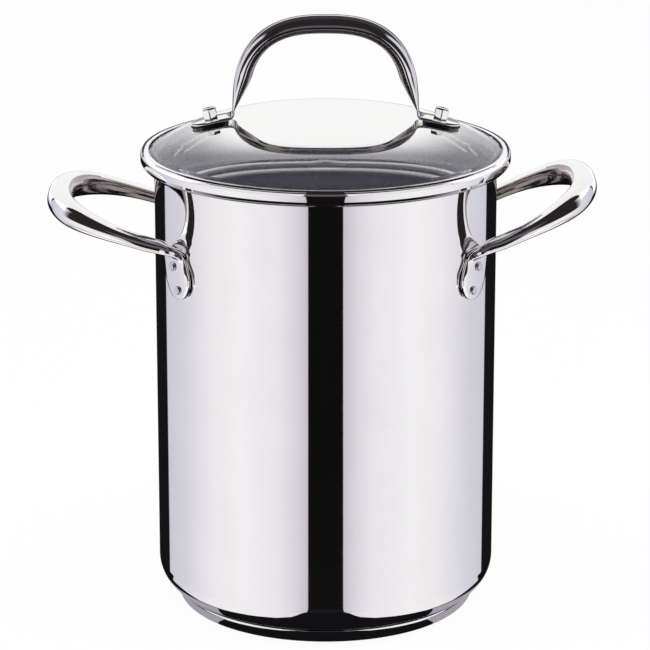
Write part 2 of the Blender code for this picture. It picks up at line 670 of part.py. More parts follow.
def make_screw_mesh(shank_top):
    head_top = WASHER_TOP - WASHER_THICKNESS - HARDWARE_GAP
    head_low = head_top - SCREW_HEAD_HEIGHT
    profile = [
        (0.0, shank_top),
        (SCREW_RADIUS, shank_top),
        (SCREW_RADIUS, head_top),
        (SCREW_HEAD_RADIUS, head_top),
        (SCREW_HEAD_RADIUS, head_top - SCREW_HEAD_HEIGHT * SCREW_HEAD_EDGE),
        (SCREW_HEAD_RADIUS * SCREW_HEAD_FACE, head_low),
        (0.0, head_low),
    ]
    return turned_mesh("screw", profile, segments=16)


def make_nut_mesh():
    """A closed hexagon nut: a hexagonal bar rounded off at the top by its own chamfer."""
    build_mesh = bmesh.new()
    bmesh.ops.create_cone(
        build_mesh,
        cap_ends=True,
        segments=6,
        radius1=NUT_CORNER_RADIUS,
        radius2=NUT_CORNER_RADIUS,
        depth=NUT_HEIGHT,
    )
    middle = NUT_BASE + NUT_HEIGHT / 2
    bmesh.ops.transform(build_mesh, matrix=Matrix.Translation((0, 0, middle)), verts=build_mesh.verts)
    top_edges = [edge for edge in build_mesh.edges if min(v.co.z for v in edge.verts) > middle]
    bmesh.ops.bevel(
        build_mesh, geom=top_edges, offset=NUT_CHAMFER, segments=1, affect="EDGES"
    )
    return mesh_from("nut", build_mesh)


def make_lid_hardware(glass, handle):
    bore = SCREW_RADIUS + SCREW_CLEARANCE
    nut_top = NUT_BASE + NUT_HEIGHT
    shank_top = nut_top - NUT_ROOF - SEAT
    gasket_mesh = make_gasket_mesh()
    gasket_mesh.materials.append(SILICONE)
    washer_profile = ring_profile(bore, WASHER_RADIUS, WASHER_TOP - WASHER_THICKNESS, WASHER_TOP)
    washer_mesh = turned_mesh("washer", washer_profile, segments=16, closed=True)
    washer_mesh.materials.append(SILICONE)
    screw_mesh = make_screw_mesh(shank_top)
    screw_mesh.materials.append(SATIN)
    nut_mesh = make_nut_mesh()
    nut_mesh.materials.append(POLISHED)
    for side in ("left", "right"):
        frame = screw_frame(side)
        pieces = {
            f"foot_gasket_{side}": gasket_mesh,
            f"glass_washer_{side}": washer_mesh,
            f"handle_screw_{side}": screw_mesh,
            f"cap_nut_{side}": nut_mesh,
        }
        placed = {}
        for name, mesh in pieces.items():
            placed[name] = add_object(name, mesh, None)
            placed[name].matrix_world = frame
        drill_foot = -GLASS_THICKNESS * 2
        drill_top = nut_top - NUT_ROOF
        middle = frame @ Matrix.Translation((0, 0, (drill_foot + drill_top) / 2))
        drill = round_cutter(f"screw_hole_{side}", bore, drill_top - drill_foot, middle)
        for item in (glass, handle, placed[f"foot_gasket_{side}"], placed[f"cap_nut_{side}"]):
            cut(item, drill)


# The basket: perforated wall, hoop, base, two ears and a folding bail


def make_basket_wall():
    """Cells of sheet, each with a six-sided hole, wrapped into a tube and given its thickness."""
    build_mesh = bmesh.new()
    half = math.pi / HOLE_COLUMNS
    pitch_width = 2 * half * BASKET_RADIUS
    corners = ((-1, -1), (0, -1), (1, -1), (1, 1), (0, 1), (-1, 1))
    hole_angles = (210, 270, 330, 30, 90, 150)
    top_row = WALL_TOP - PLAIN_BAND
    low_row = top_row - HOLE_ROWS * HOLE_ROW_PITCH

    def on_wall(angle, height):
        point = (BASKET_RADIUS * math.cos(angle), BASKET_RADIUS * math.sin(angle), height)
        return build_mesh.verts.new(point)

    def sheet_band(low, high):
        for column in range(2 * HOLE_COLUMNS):
            left = column * half
            right = left + half
            corners_of_band = ((left, low), (right, low), (right, high), (left, high))
            build_mesh.faces.new([on_wall(angle, height) for angle, height in corners_of_band])

    for row in range(HOLE_ROWS):
        middle_height = low_row + (row + 0.5) * HOLE_ROW_PITCH
        for column in range(HOLE_COLUMNS):
            middle = (2 * column + row % 2) * half
            outer = [
                on_wall(middle + x * half, middle_height + z * HOLE_ROW_PITCH / 2) for x, z in corners
            ]
            inner = []
            for degrees in hole_angles:
                angle = math.radians(degrees)
                aside = HOLE_RADIUS * math.cos(angle) / pitch_width * 2 * half
                inner.append(on_wall(middle + aside, middle_height + HOLE_RADIUS * math.sin(angle)))
            for side in range(6):
                after = (side + 1) % 6
                build_mesh.faces.new((outer[side], outer[after], inner[after], inner[side]))
    sheet_band(WALL_BOTTOM, low_row)
    sheet_band(top_row, WALL_TOP)
    bmesh.ops.remove_doubles(build_mesh, verts=build_mesh.verts, dist=MERGE_DISTANCE)
    wall = add_object("basket_wall", mesh_from("basket_wall", build_mesh), SATIN)
    thickness = wall.modifiers.new("sheet", "SOLIDIFY")
    thickness.thickness = BASKET_SHEET
    thickness.offset = -1.0
    return wall


def make_basket_base():
    sheet = BASKET_SHEET
    corner = (BASE_RADIUS - BASE_CORNER, BASKET_BOTTOM + BASE_CORNER)
    rim = WALL_BOTTOM + BASE_LAP
    profile = [(0.0, BASKET_BOTTOM + sheet)]
    profile += arc(corner, BASE_CORNER - sheet, -90, 0, 3)
    profile += [(BASE_RADIUS - sheet, rim), (BASE_RADIUS, rim)]
    profile += arc(corner, BASE_CORNER, 0, -90, 3)
    profile += [(0.0, BASKET_BOTTOM)]
    base = turned("basket_base", profile, SATIN)
    build_mesh = bmesh.new()
    spots = [(0.0, 0.0)]
    for around in range(1, BASE_HOLE_RINGS + 1):
        for number in range(6 * around):
            angle = 2 * math.pi * number / (6 * around)
            radius = around * BASE_HOLE_PITCH
            spots.append((radius * math.cos(angle), radius * math.sin(angle)))
    for x, y in spots:
        place = Matrix.Translation((x, y, BASKET_BOTTOM))
        bmesh.ops.create_cone(
            build_mesh,
            cap_ends=True,
            segments=6,
            radius1=BASE_HOLE_RADIUS,
            radius2=BASE_HOLE_RADIUS,
            depth=6 * sheet,
            matrix=place,
        )
    punches = add_object("base_punches", mesh_from("base_punches", build_mesh), None, CUTTERS)
    cut(base, punches)
    return base


def make_hoop():
    section = arc((HOOP_MIDDLE, HOOP_HEIGHT), HOOP_RADIUS, 180, -135, 7)
    return turned("basket_hoop", section, POLISHED, closed=True)


def make_ears():
    top = PIVOT_HEIGHT + EAR_WIDTH / 2 - BAIL_WIRE_RADIUS
    middle_height = top - EAR_LENGTH / 2
    for side, sign in (("left", -1), ("right", 1)):
        build_mesh = bmesh.new()
        bmesh.ops.create_cube(build_mesh, size=1.0)
        stretch = Matrix.Diagonal((EAR_THICKNESS, EAR_WIDTH, EAR_LENGTH, 1.0))
        bmesh.ops.transform(build_mesh, matrix=stretch, verts=build_mesh.verts)
        upright = [e for e in build_mesh.edges if abs(e.verts[0].co.x - e.verts[1].co.x) > EAR_THICKNESS / 2]
        bmesh.ops.bevel(
            build_mesh, geom=upright, offset=EAR_CORNER, segments=4, profile=0.5, affect="EDGES"
        )
        ear = add_object(f"bail_ear_{side}", mesh_from(f"bail_ear_{side}", build_mesh), POLISHED)
        ear.location = (sign * (EAR_FACE - EAR_THICKNESS / 2), 0.0, middle_height)
        sideways = Matrix.Rotation(math.pi / 2, 4, "Y")
        place = Matrix.Translation((sign * EAR_FACE, 0.0, PIVOT_HEIGHT)) @ sideways
        bore = BAIL_WIRE_RADIUS + BAIL_PIVOT_CLEARANCE
        cut(ear, round_cutter(f"ear_hole_{side}", bore, EAR_THICKNESS * 6, place))


def bail_route():
    """The right half of the folded bail, seen from above: ear, bend, arc, finger kink."""
    inside = EAR_FACE - EAR_THICKNESS - BAIL_END
    route = [(inside, 0.0), ((inside + EAR_FACE) / 2, 0.0)]
    route += arc((BAIL_RADIUS - BAIL_BEND, BAIL_BEND), BAIL_BEND, -90, 0, 4)
    half_kink = math.degrees(KINK_WIDTH / 2 / BAIL_RADIUS)
    start = math.degrees(BAIL_ARC_START / BAIL_RADIUS)
    route += arc((0.0, 0.0), BAIL_RADIUS, start, 90 - half_kink, 12)
    shoulder = route[-1]
    route.append((shoulder[0] * KINK_SHOULDER[0], BAIL_RADIUS + KINK_DEPTH * KINK_SHOULDER[1]))
    route.append((0.0, BAIL_RADIUS + KINK_DEPTH))
    return route


def make_bail():
    right = bail_route()
    left = [(-x, y) for x, y in right[-2::-1]]
    route = right + left
    data = bpy.data.curves.new("bail", "CURVE")
    data.dimensions = "3D"
    data.bevel_depth = BAIL_WIRE_RADIUS
    data.bevel_resolution = 1
    data.use_fill_caps = True
    spline = data.splines.new("POLY")
    spline.points.add(len(route) - 1)
    for point, (x, y) in zip(spline.points, route):
        point.co = (x, y, 0.0, 1.0)
    bail = bpy.data.objects.new("bail", data)
    PARTS.objects.link(bail)
    data.materials.append(POLISHED)
    bail.location = (0.0, 0.0, PIVOT_HEIGHT)
    bail.rotation_euler = (math.radians(BAIL_SLOPE), 0.0, 0.0)
    return bail


def make_pot():
    shell = make_shell()
    make_base()
    make_handles(shell)


def make_lid():
    glass = make_glass()
    make_band()
    handle = make_lid_handle()
    make_lid_hardware(glass, handle)


def make_basket():
    make_basket_wall()
    make_basket_base()
    make_hoop()
    make_ears()
    make_bail()


make_pot()
make_lid()
make_basket()
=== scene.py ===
"""Looks and studio for the asparagus pot.

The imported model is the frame. Its large pieces and all with a mirror finish are made again here
with smooth surfaces, at the sizes that the frame gives, and ride on the bodies of the nodes that
they replace. The other small pieces stay. Lengths are metres and angles are degrees.
"""

import json
from math import acos, asin, atan2, copysign, cos, degrees, dist, hypot, pi, radians, sin, sqrt, tan

import bmesh
import bpy
from mathutils import Matrix, Vector


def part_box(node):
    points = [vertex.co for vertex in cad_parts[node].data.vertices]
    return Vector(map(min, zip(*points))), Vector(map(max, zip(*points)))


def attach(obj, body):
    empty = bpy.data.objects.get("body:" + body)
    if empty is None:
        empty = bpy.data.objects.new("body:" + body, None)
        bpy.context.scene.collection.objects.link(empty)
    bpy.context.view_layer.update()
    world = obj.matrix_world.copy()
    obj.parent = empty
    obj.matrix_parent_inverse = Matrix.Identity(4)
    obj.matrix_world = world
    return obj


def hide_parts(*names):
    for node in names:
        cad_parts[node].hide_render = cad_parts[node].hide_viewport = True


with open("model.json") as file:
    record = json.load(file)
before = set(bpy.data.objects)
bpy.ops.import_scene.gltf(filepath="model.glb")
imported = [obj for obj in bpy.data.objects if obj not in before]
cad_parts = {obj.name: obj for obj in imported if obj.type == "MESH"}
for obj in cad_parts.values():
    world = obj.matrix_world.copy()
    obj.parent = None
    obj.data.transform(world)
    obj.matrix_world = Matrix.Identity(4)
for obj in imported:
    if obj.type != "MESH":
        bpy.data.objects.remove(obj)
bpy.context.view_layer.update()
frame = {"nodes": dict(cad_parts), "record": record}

SEGMENTS = 256  # round every large turned piece
# Faces that look this squarely into a loop get the darker steel of painted shade.
INSIDE_FACING = 0.35  # how squarely a face looks to its loop's middle, 0 to 1

# Sizes read from the frame
(_, _, SHELL_UNDERSIDE), (LIP_RADIUS, _, LIP_TOP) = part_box("pot_shell")
CAP_RADIUS, _, CAP_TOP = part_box("base_cap")[1]
(_, _, SKIRT_FOOT), (BAND_RADIUS, _, BAND_TOP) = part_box("lid_band")
(_, _, FLANGE_BOTTOM), (GLASS_RADIUS, _, _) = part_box("lid_glass")
(_, _, HOOP_BOTTOM), (_, _, HOOP_TOP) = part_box("basket_hoop")
(_, _, WALL_BOTTOM), (BASKET_RADIUS, _, WALL_TOP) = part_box("basket_wall")
(_, _, BASE_BOTTOM), (BASE_RADIUS, _, BASE_TOP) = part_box("basket_base")
(EAR_BACK, _, _), (EAR_FACE, _, _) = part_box("bail_ear_right")
BAIL_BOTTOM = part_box("bail")[0][2]
ARCH_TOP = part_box("lid_handle")[1][2]

# The pot
LIP_REACH = 0.0053
POT_OUTER_RADIUS = LIP_RADIUS - LIP_REACH
POT_WALL = 0.0008
POT_INNER_RADIUS = POT_OUTER_RADIUS - POT_WALL
FLOOR = SHELL_UNDERSIDE + POT_WALL
BOTTOM_CORNER = 0.0160
FLARE_RADIUS = 0.0025
LIP_BEAD_RADIUS = 0.0011
CAP_THICKNESS = 0.0005
CAP_CORNER = 0.0042
CAP_EDGE = 0.00015  # the cap's edge is rounded and turned in against the shell
CAP_DRAFT = 0.0004
SEAT = 0.0003  # the gap between faces that rest on each other

# The side handles
LEFT_RISE = 16.2
RIGHT_RISE = 23.8
PAD_BOTTOM = LIP_TOP - 0.0555
PAD_HEIGHT = 0.0180
PAD_WIDTH = 0.0186
PAD_THICKNESS = 0.0026
PAD_LOW_ANGLE = 36.6
PAD_HIGH_ANGLE = 31.2
PAD_OFFSET = POT_OUTER_RADIUS + SEAT + PAD_THICKNESS / 2
BEND_RADIUS = 0.0050
GRIP_SETOFF = 0.0105
LEFT_REACH = 0.0459
RIGHT_REACH = 0.0443
GRIP_HALF_SPAN = 0.0448
GRIP_ROUNDNESS = 2.5  # of the loop: 2 is an ellipse, more is squarer
# Width, thickness and squareness of the strap. Squareness 2 is an ellipse, more is squarer.
PAD_SECTION = (PAD_WIDTH, PAD_THICKNESS, 5.0)
ANKLE_SECTION = (0.0105, 0.0062, 2.6)
GRIP_SECTION = (0.0122, 0.0119, 2.2)
ANKLE_BOW = 0.08  # share of its run by which the strap bows out between pad and grip
HANDLE_SIDES = 40
HANDLE_STEPS = 240

# The rivets
RIVET_HEAD_RADIUS = 0.0019
RIVET_HEAD_HEIGHT = 0.0005
RIVET_CROWN = ((0.0, 0.8), (0.35, 0.9), (0.60, 1.0))  # shares of radius and height, from the middle
RIVET_SEGMENTS = 32
LOW_RIVET_RISE = 0.0042
RIVET_SPACING = 0.0104

# The lid
BAND_BOTTOM = LIP_TOP + SEAT
BAND_SHEET = 0.0006
BAND_SHOULDER = 0.0023
BAND_GRIP = 0.0031
BAND_DROP = 0.0014  # how far the edge is turned down over the lip
BAND_DRAFT = 0.0006  # how far it leans in on the way
BAND_EDGE = 0.00015
SKIRT_RADIUS = POT_INNER_RADIUS - 0.0010
GLASS_THICKNESS = 0.0040
GLASS_EDGE = 0.0010
CROWN_RADIUS = 0.3000
CROWN_SHARE = 0.596
EDGE_CURVE_RADIUS = 0.0880
FLANGE_TOP = BAND_TOP - BAND_SHEET - SEAT
GLASS_SHOULDER = 0.0024
GLASS_STEP = 0.0011
DOME_EDGE_RADIUS = GLASS_RADIUS - BAND_GRIP - GLASS_SHOULDER - SEAT
CROWN_REACH = CROWN_SHARE * DOME_EDGE_RADIUS
CROWN_SLOPE = asin(CROWN_REACH / CROWN_RADIUS)
CURVE_MIDDLE = CROWN_REACH - EDGE_CURVE_RADIUS * sin(CROWN_SLOPE)
DOME_EDGE_SLOPE = asin((DOME_EDGE_RADIUS - CURVE_MIDDLE) / EDGE_CURVE_RADIUS)
CURVE_CENTRE = FLANGE_TOP + GLASS_STEP - EDGE_CURVE_RADIUS * cos(DOME_EDGE_SLOPE)
CROWN_CENTRE = CURVE_CENTRE - (CROWN_RADIUS - EDGE_CURVE_RADIUS) * cos(CROWN_SLOPE)

# The lid's handle and its screws
ARCH_HALF_SPAN = 0.0437
ARCH_HEIGHT = 0.0441
ARCH_ROUNDNESS = 2.55
ARCH_WIDTH = 0.0193
ARCH_THICKNESS = 0.0080
ARCH_SWELL = 0.0180
ARCH_ANKLE_RISE = 0.0057
ARCH_SWELL_POWER = 1.5
ARCH_SPRING = ARCH_TOP - ARCH_HEIGHT
ARCH_SIDES = 40
ARCH_STEPS = 150
FOOT_SQUARENESS = 5.0
SPRING_SQUARENESS = 3.0
CROWN_SQUARENESS = 2.3
FOOT_WIDTH = 0.0150
FOOT_THICKNESS = 0.0013
FOOT_REACH = 0.0097
SCREW_PLACE = ARCH_HALF_SPAN + 0.0096
FOOT_BOTTOM = 0.0008  # over the glass
FOOT_MIDDLE = FOOT_BOTTOM + FOOT_THICKNESS / 2
NUT_BASE = 0.0022
NUT_HEIGHT = 0.0052
NUT_CORNER_RADIUS = 0.0036
NUT_TOP_SHARE = 0.86
NUT_CHAMFER = 0.0005
NUT_BEVEL = 0.0003

# The basket
BASKET_SHEET = 0.0006
HOOP_RADIUS = (HOOP_TOP - HOOP_BOTTOM) / 2
HOOP_MIDDLE = BASKET_RADIUS - BASKET_SHEET / 2
HOOP_HEIGHT = HOOP_TOP - HOOP_RADIUS
BASE_CORNER = WALL_BOTTOM - BASE_BOTTOM
HOLE_COLUMNS = 20
HOLE_ROWS = 5
HOLE_RADIUS = 0.0052
HOLE_ROW_PITCH = 0.0260
HOLE_POINTS = 24
PLAIN_BAND = 0.0200  # wall without holes under the hoop
BASE_HOLE_RADIUS = 0.0042
BASE_HOLE_PITCH = 0.0210
BASE_HOLE_RINGS = 2
BASE_SEGMENTS = 120
BAIL_WIRE_RADIUS = 0.0013
BAIL_BEND = 0.0025
BAIL_SLOPE = 0.6
BAIL_END = 0.0030
PIVOT_HEIGHT = BAIL_BOTTOM + BAIL_WIRE_RADIUS
BAIL_RADIUS = EAR_FACE + SEAT + BAIL_BEND
BAIL_SIDES = 20
BAIL_STEPS = 260
KINK_WIDTH = 0.0165
KINK_GAP = 0.0009  # between the kink and the pot's wall
KINK_DEPTH = POT_INNER_RADIUS - KINK_GAP - BAIL_WIRE_RADIUS - BAIL_RADIUS
KINK_SHAPE = ((0.75, 0.22), (0.40, 0.66), (0.12, 0.97), (0.0, 1.0))  # shares of half width and depth


# Node helpers


class Graph:
    """Adds and links the nodes of one material or world."""

    def __init__(self, tree):
        self.tree = tree
        tree.nodes.clear()

    def node(self, kind, inputs=None, **settings):
        """Adds a node. Its inputs are plain values or other nodes' outputs, by number or name."""
        made = self.tree.nodes.new(kind)
        for name, value in settings.items():
            setattr(made, name, value)
        for place, value in (inputs or {}).items():
            if isinstance(value, bpy.types.NodeSocket):
                self.tree.links.new(value, made.inputs[place])
            else:
                made.inputs[place].default_value = value
        return made

    def math(self, operation, *values):
        return self.node("ShaderNodeMath", dict(enumerate(values)), operation=operation).outputs[0]

    def step(self, value, low, high):
        """0 below low, 1 above high, eased between them."""
        inputs = {"Value": value, "From Min": low, "From Max": high}
        made = self.node("ShaderNodeMapRange", inputs, interpolation_type="SMOOTHSTEP")
        return made.outputs["Result"]

    def spread(self, value, low, high):
        """Turns a noise value into a range from low to high."""
        inputs = {"Value": value, "From Min": 0.3, "From Max": 0.7, "To Min": low, "To Max": high}
        return self.node("ShaderNodeMapRange", inputs).outputs["Result"]

    def ramp(self, value, stops):
        made = self.node("ShaderNodeValToRGB", {0: value})
        elements = made.color_ramp.elements
        while len(elements) > 1:
            elements.remove(elements[-1])
        elements[0].position = stops[0][0]
        elements[0].color = (*stops[0][1], 1.0)
        for place, colour in stops[1:]:
            elements.new(place).color = (*colour, 1.0)
        return made.outputs[0]

    def mix(self, share, first, second):
        """Mixes two colours."""
        inputs = {"Factor": share, "A": first, "B": second}
        return self.node("ShaderNodeMix", inputs, data_type="RGBA").outputs["Result"]

    def blend(self, share, first, second):
        """Mixes two shaders."""
        return self.node("ShaderNodeMixShader", {0: share, 1: first, 2: second}).outputs[0]

    def coordinates(self, kind="Object"):
        """The x, y and z of a texture coordinate. Object gives the object's own metres."""
        place = self.node("ShaderNodeTexCoord").outputs[kind]
        return self.node("ShaderNodeSeparateXYZ", {0: place}).outputs

    def noise(self, scale, detail=3.0, stretch=(1.0, 1.0, 1.0)):
        """Noise in the object's own metres, with its coordinates multiplied by stretch."""
        place = self.node("ShaderNodeTexCoord").outputs["Object"]
        mapping = self.node("ShaderNodeMapping", {"Vector": place, "Scale": stretch})
        inputs = {"Vector": mapping.outputs[0], "Scale": scale, "Detail": detail}
        return self.node("ShaderNodeTexNoise", inputs).outputs["Fac"]

    def bump(self, height, distance, under=None):
        inputs = {"Strength": 1.0, "Distance": distance, "Height": height}
        if under:
            inputs["Normal"] = under
        return self.node("ShaderNodeBump", inputs).outputs[0]

    def surface(self, light, output="ShaderNodeOutputMaterial"):
        """Ends the graph with what the material or world shows."""
        self.node(output, {"Surface": light})


def grey(level):
    """The linear value of a grey written from 0 to 255."""
    share = level / 255
    return share / 12.92 if share <= 0.04045 else ((share + 0.055) / 1.055) ** 2.4


def tint(red, green, blue):
    return grey(red), grey(green), grey(blue)


def shown(red, green, blue):
    """The light that shows as this colour in polished steel, no brighter than white."""
    return tuple(min(light / metal, 1.0) for light, metal in zip(tint(red, green, blue), STEEL_COLOUR))


def new_material(name):
    material = bpy.data.materials.new(name)
    material.use_nodes = True
    return material, Graph(material.node_tree)


CLOUD_SCALE = 38.0
CLOUD_SHADE = 0.96
SMEAR_SCALE = 90.0
LINE_SCALE = 900.0


def steel(name, colour, roughness, waves, line_depth, line_stretch=(1.0, 1.0, 1.0), metallic=1.0):
    """Polished or satin steel. Its roughness is cloudy, from smooth to rough, and its surface has
    slow waves, given by their scale and depth, and fine polishing lines."""
    material, graph = new_material(name)
    clouds = graph.spread(graph.noise(CLOUD_SCALE, 4.0), 0.0, 1.0)
    darker = tuple(channel * CLOUD_SHADE for channel in colour)
    wave_scale, wave_depth = waves
    slow = graph.bump(graph.noise(wave_scale, 1.0), wave_depth)
    shader = graph.node("ShaderNodeBsdfPrincipled", {
        "Base Color": graph.mix(clouds, (*darker, 1), (*colour, 1)),
        "Metallic": metallic,
        "Roughness": graph.spread(graph.noise(SMEAR_SCALE, 5.0), *roughness),
        "Normal": graph.bump(graph.noise(LINE_SCALE, 2.0, line_stretch), line_depth, slow),
    })
    graph.surface(shader.outputs[0])
    return material


def glass():
    """Clear tempered glass. It lets plain light through to what lies under it, and turns into a
    mirror where it is seen at a low angle, but not near the dome's edge at the sides and in front."""
    material, graph = new_material("clear_glass")
    shader = graph.node("ShaderNodeBsdfPrincipled", {
        "Base Color": (0.988, 0.990, 0.992, 1.0),
        "Transmission Weight": 1.0,
        "IOR": 1.5,
        "Roughness": graph.spread(graph.noise(60.0, 4.0), 0.0, 0.004),
        "Normal": graph.bump(graph.noise(7.0, 1.0), 0.00003),
    })
    mirror = graph.node("ShaderNodeBsdfGlossy", {"Color": (0.97, 0.975, 0.955, 1.0), "Roughness": 0.0})
    clear = graph.node("ShaderNodeBsdfTransparent", {"Color": (0.94, 0.945, 0.95, 1.0)})
    facing = graph.node("ShaderNodeLayerWeight").outputs["Facing"]
    x, y, _ = graph.coordinates()
    squares = [graph.math("MULTIPLY", way, way) for way in (x, graph.math("MINIMUM", y, 0.0))]
    radius = graph.math("SQRT", graph.math("ADD", *squares))
    near_crown = graph.step(radius, MIRROR_RIM, MIRROR_CROWN)
    low_angle = graph.step(facing, MIRROR_FROM, MIRROR_FULL)
    gloss = graph.math("MULTIPLY", low_angle, near_crown)
    gloss = graph.blend(gloss, shader.outputs[0], mirror.outputs[0])
    path = graph.node("ShaderNodeLightPath")
    unseen = graph.math("MAXIMUM", path.outputs["Is Shadow Ray"], path.outputs["Is Diffuse Ray"])
    graph.surface(graph.blend(unseen, gloss, clear.outputs[0]))
    return material


def silicone():
    material, graph = new_material("black_silicone")
    mottle = graph.noise(700.0, 3.0)
    shader = graph.node("ShaderNodeBsdfPrincipled", {
        "Base Color": graph.mix(mottle, (0.012, 0.012, 0.013, 1), (0.030, 0.029, 0.030, 1)),
        "Roughness": graph.spread(mottle, 0.42, 0.60),
        "Normal": graph.bump(graph.noise(2500.0, 2.0), 0.00003),
    })
    graph.surface(shader.outputs[0])
    return material


MIRROR_FROM = 0.40  # Layer Weight's Facing, 0 face on and 1 edge on
MIRROR_FULL = 0.62
MIRROR_CROWN = 0.046  # radius within which the dome mirrors fully
MIRROR_RIM = 0.076
STEEL_COLOUR = (0.90, 0.885, 0.895)
SATIN_COLOUR = (0.74, 0.725, 0.80)
SPUN = (0.3, 0.3, 3.0)  # polishing lines that run round the pot
BRUSHED = (0.1, 0.1, 3.0)
BODY_STEEL = steel("body_steel", STEEL_COLOUR, (0.015, 0.04), (5.0, 0.00003), 0.0000002, SPUN)
CAST_STEEL = steel("cast_steel", STEEL_COLOUR, (0.02, 0.05), (40.0, 0.00005), 0.0000003)
SATIN_STEEL = steel("satin_steel", SATIN_COLOUR, (0.20, 0.34), (12.0, 0.00003), 0.000001, BRUSHED, 0.66)
# Painted shade: a darker, browner steel on the faces that look into the side handles' loops and under the
# arch, in place of the dark reflections they show.
SHADED_INNER_STEEL = steel("inner_steel_painted_shade", (0.34, 0.30, 0.285), (0.08, 0.22), (160.0, 0.00020), 0.000002)
WIRE_STEEL = steel("wire_steel", (0.92, 0.91, 0.92), (0.08, 0.18), (60.0, 0.00003), 0.000002, metallic=0.0)
SCREW_STEEL = steel("screw_steel", (0.13, 0.12, 0.12), (0.30, 0.45), (200.0, 0.00005), 0.000002)
RIVET_STEEL = steel("rivet_steel", SATIN_COLOUR, (0.10, 0.22), (200.0, 0.00010), 0.000002)
ALUMINIUM = steel("aluminium", (0.80, 0.81, 0.82), (0.30, 0.45), (30.0, 0.00005), 0.000004)
GLASS = glass()
SILICONE = silicone()


# Mesh helpers


def polar(radius, angle, x=0.0, y=0.0):
    """The point at a distance and an angle, in radians, from x and y."""
    return x + radius * cos(angle), y + radius * sin(angle)


def arc(centre, radius, start, end, steps):
    """Points (radius, height) on an arc, from the start angle to the end angle."""
    angles = [radians(start + (end - start) * step / steps) for step in range(steps + 1)]
    return [polar(radius, angle, *centre) for angle in angles]


def between(low, high, share):
    return low + (high - low) * share


def ease(low, high, share):
    share = min(max(share, 0.0), 1.0)
    return between(low, high, share * share * (3 - 2 * share))


def put(name, data):
    """Puts a mesh, a lamp or a camera in the scene."""
    made = bpy.data.objects.new(name, data)
    bpy.context.scene.collection.objects.link(made)
    return made


def add_piece(name, mesh, material, body, material_slot, *nodes):
    """Puts a mesh in the scene on its body, in place of the nodes it stands for."""
    piece = put(name, mesh)
    mesh.materials.append(material)
    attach(piece, body)
    if nodes:
        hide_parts(*nodes)
    return piece


def finish_mesh(name, shape, sharp=35):
    bmesh.ops.recalc_face_normals(shape, faces=shape.faces)
    mesh = bpy.data.meshes.new(name)
    shape.to_mesh(mesh)
    shape.free()
    mesh.shade_smooth()
    mesh.set_sharp_from_angle(angle=radians(sharp))
    return mesh


def ring_of(shape, radius, height, count, x=0.0, y=0.0):
    """Vertices on a level circle."""
    spots = [polar(radius, 2 * pi * number / count, x, y) for number in range(count)]
    return [shape.verts.new((*spot, height)) for spot in spots]


def skin(shape, rows):
    """Joins closed rows of vertices with faces. A row may also be one vertex, repeated."""
    for near, far in zip(rows, rows[1:]):
        for side in range(len(near)):
            after = (side + 1) % len(near)
            corners = list(dict.fromkeys((near[side], near[after], far[after], far[side])))
            if len(corners) > 2:
                shape.faces.new(corners)


def turned(name, profile, segments=SEGMENTS, closed=False, sharp=35):
    """Spins a profile of (radius, height) points round Z. Points on the axis become one vertex."""
    shape = bmesh.new()
    rings = []
    for radius, height in profile:
        if radius < 0.000001:
            rings.append([shape.verts.new((0.0, 0.0, height))] * segments)
        else:
            rings.append(ring_of(shape, radius, height, segments))
    if closed:
        rings.append(rings[0])
    skin(shape, rings)
    return finish_mesh(name, shape, sharp)


def cross_section(centre, across, through, width, thickness, squareness, sides):
    """Points round a rounded rectangle that stands in the directions across and through."""
    points = []
    for side in range(sides):
        angle = 2 * pi * (side + 0.5) / sides
        along_width = copysign(abs(cos(angle)) ** (2 / squareness), cos(angle))
        along_depth = copysign(abs(sin(angle)) ** (2 / squareness), sin(angle))
        offset = across * (along_width * width / 2)
        points.append(centre + offset + through * (along_depth * thickness / 2))
    return points


def lofted(name, sections, bevel=0.0, sharp=60):
    """Skins a row of cross-sections, caps both ends and bevels the edges."""
    shape = bmesh.new()
    rows = [[shape.verts.new(point) for point in section] for section in sections]
    skin(shape, rows)
    shape.faces.new(rows[0][::-1])
    shape.faces.new(rows[-1])
    if bevel:
        edges = shape.edges[:]
        bmesh.ops.bevel(shape, geom=edges, offset=bevel, segments=1, profile=0.5, affect="EDGES")
    return finish_mesh(name, shape, sharp)


def shade_inside_faces(mesh, hub, axle, reach):
    """Gives the darker steel of painted shade to a loop's faces that look to its middle, from a reach
    outwards.
    """
    for face in mesh.polygons:
        inward = hub - face.center
        inward -= axle * inward.dot(axle)
        if abs(face.center.x) > reach and face.normal.dot(inward.normalized()) > INSIDE_FACING:
            face.material_index = 1


def superellipse(share, roundness):
    """Across and up, from (1, 0) to (0, 1), at a share of a quarter of a superellipse."""
    angle = pi / 2 * share
    across = cos(angle) ** (2 / roundness) if share < 1 else 0.0
    return across, sin(angle) ** (2 / roundness)


def smooth_route(points, count):
    """Even points on a Catmull-Rom curve. A point starts with x, y and z, and may hold more values."""
    padded = [points[0]] + list(points) + [points[-1]]
    lengths = [0.0]
    for near, far in zip(points, points[1:]):
        lengths.append(lengths[-1] + dist(near[:3], far[:3]))
    route = []
    for index in range(count + 1):
        travelled = lengths[-1] * index / count
        span = max(i for i in range(len(points) - 1) if lengths[i] <= travelled + 1e-12)
        first = span == 0
        last = span == len(points) - 2
        step = lengths[span + 1] - lengths[span]
        before = step if first else lengths[span] - lengths[span - 1]
        after = step if last else lengths[span + 2] - lengths[span + 1]
        t = (travelled - lengths[span]) / step
        values = []
        for p0, p1, p2, p3 in zip(*padded[span : span + 4]):
            rise_in, rise, rise_out = p1 - p0, p2 - p1, p3 - p2
            start = rise if first else (rise_in / before * step + rise) / (1 + step / before)
            end = rise if last else (rise * after / step + rise_out * step / after) / (1 + after / step)
            value = (2 * t**3 - 3 * t**2 + 1) * p1 + (t**3 - 2 * t**2 + t) * start
            values.append(value + (-2 * t**3 + 3 * t**2) * p2 + (t**3 - t**2) * end)
        route.append(values)
    return route


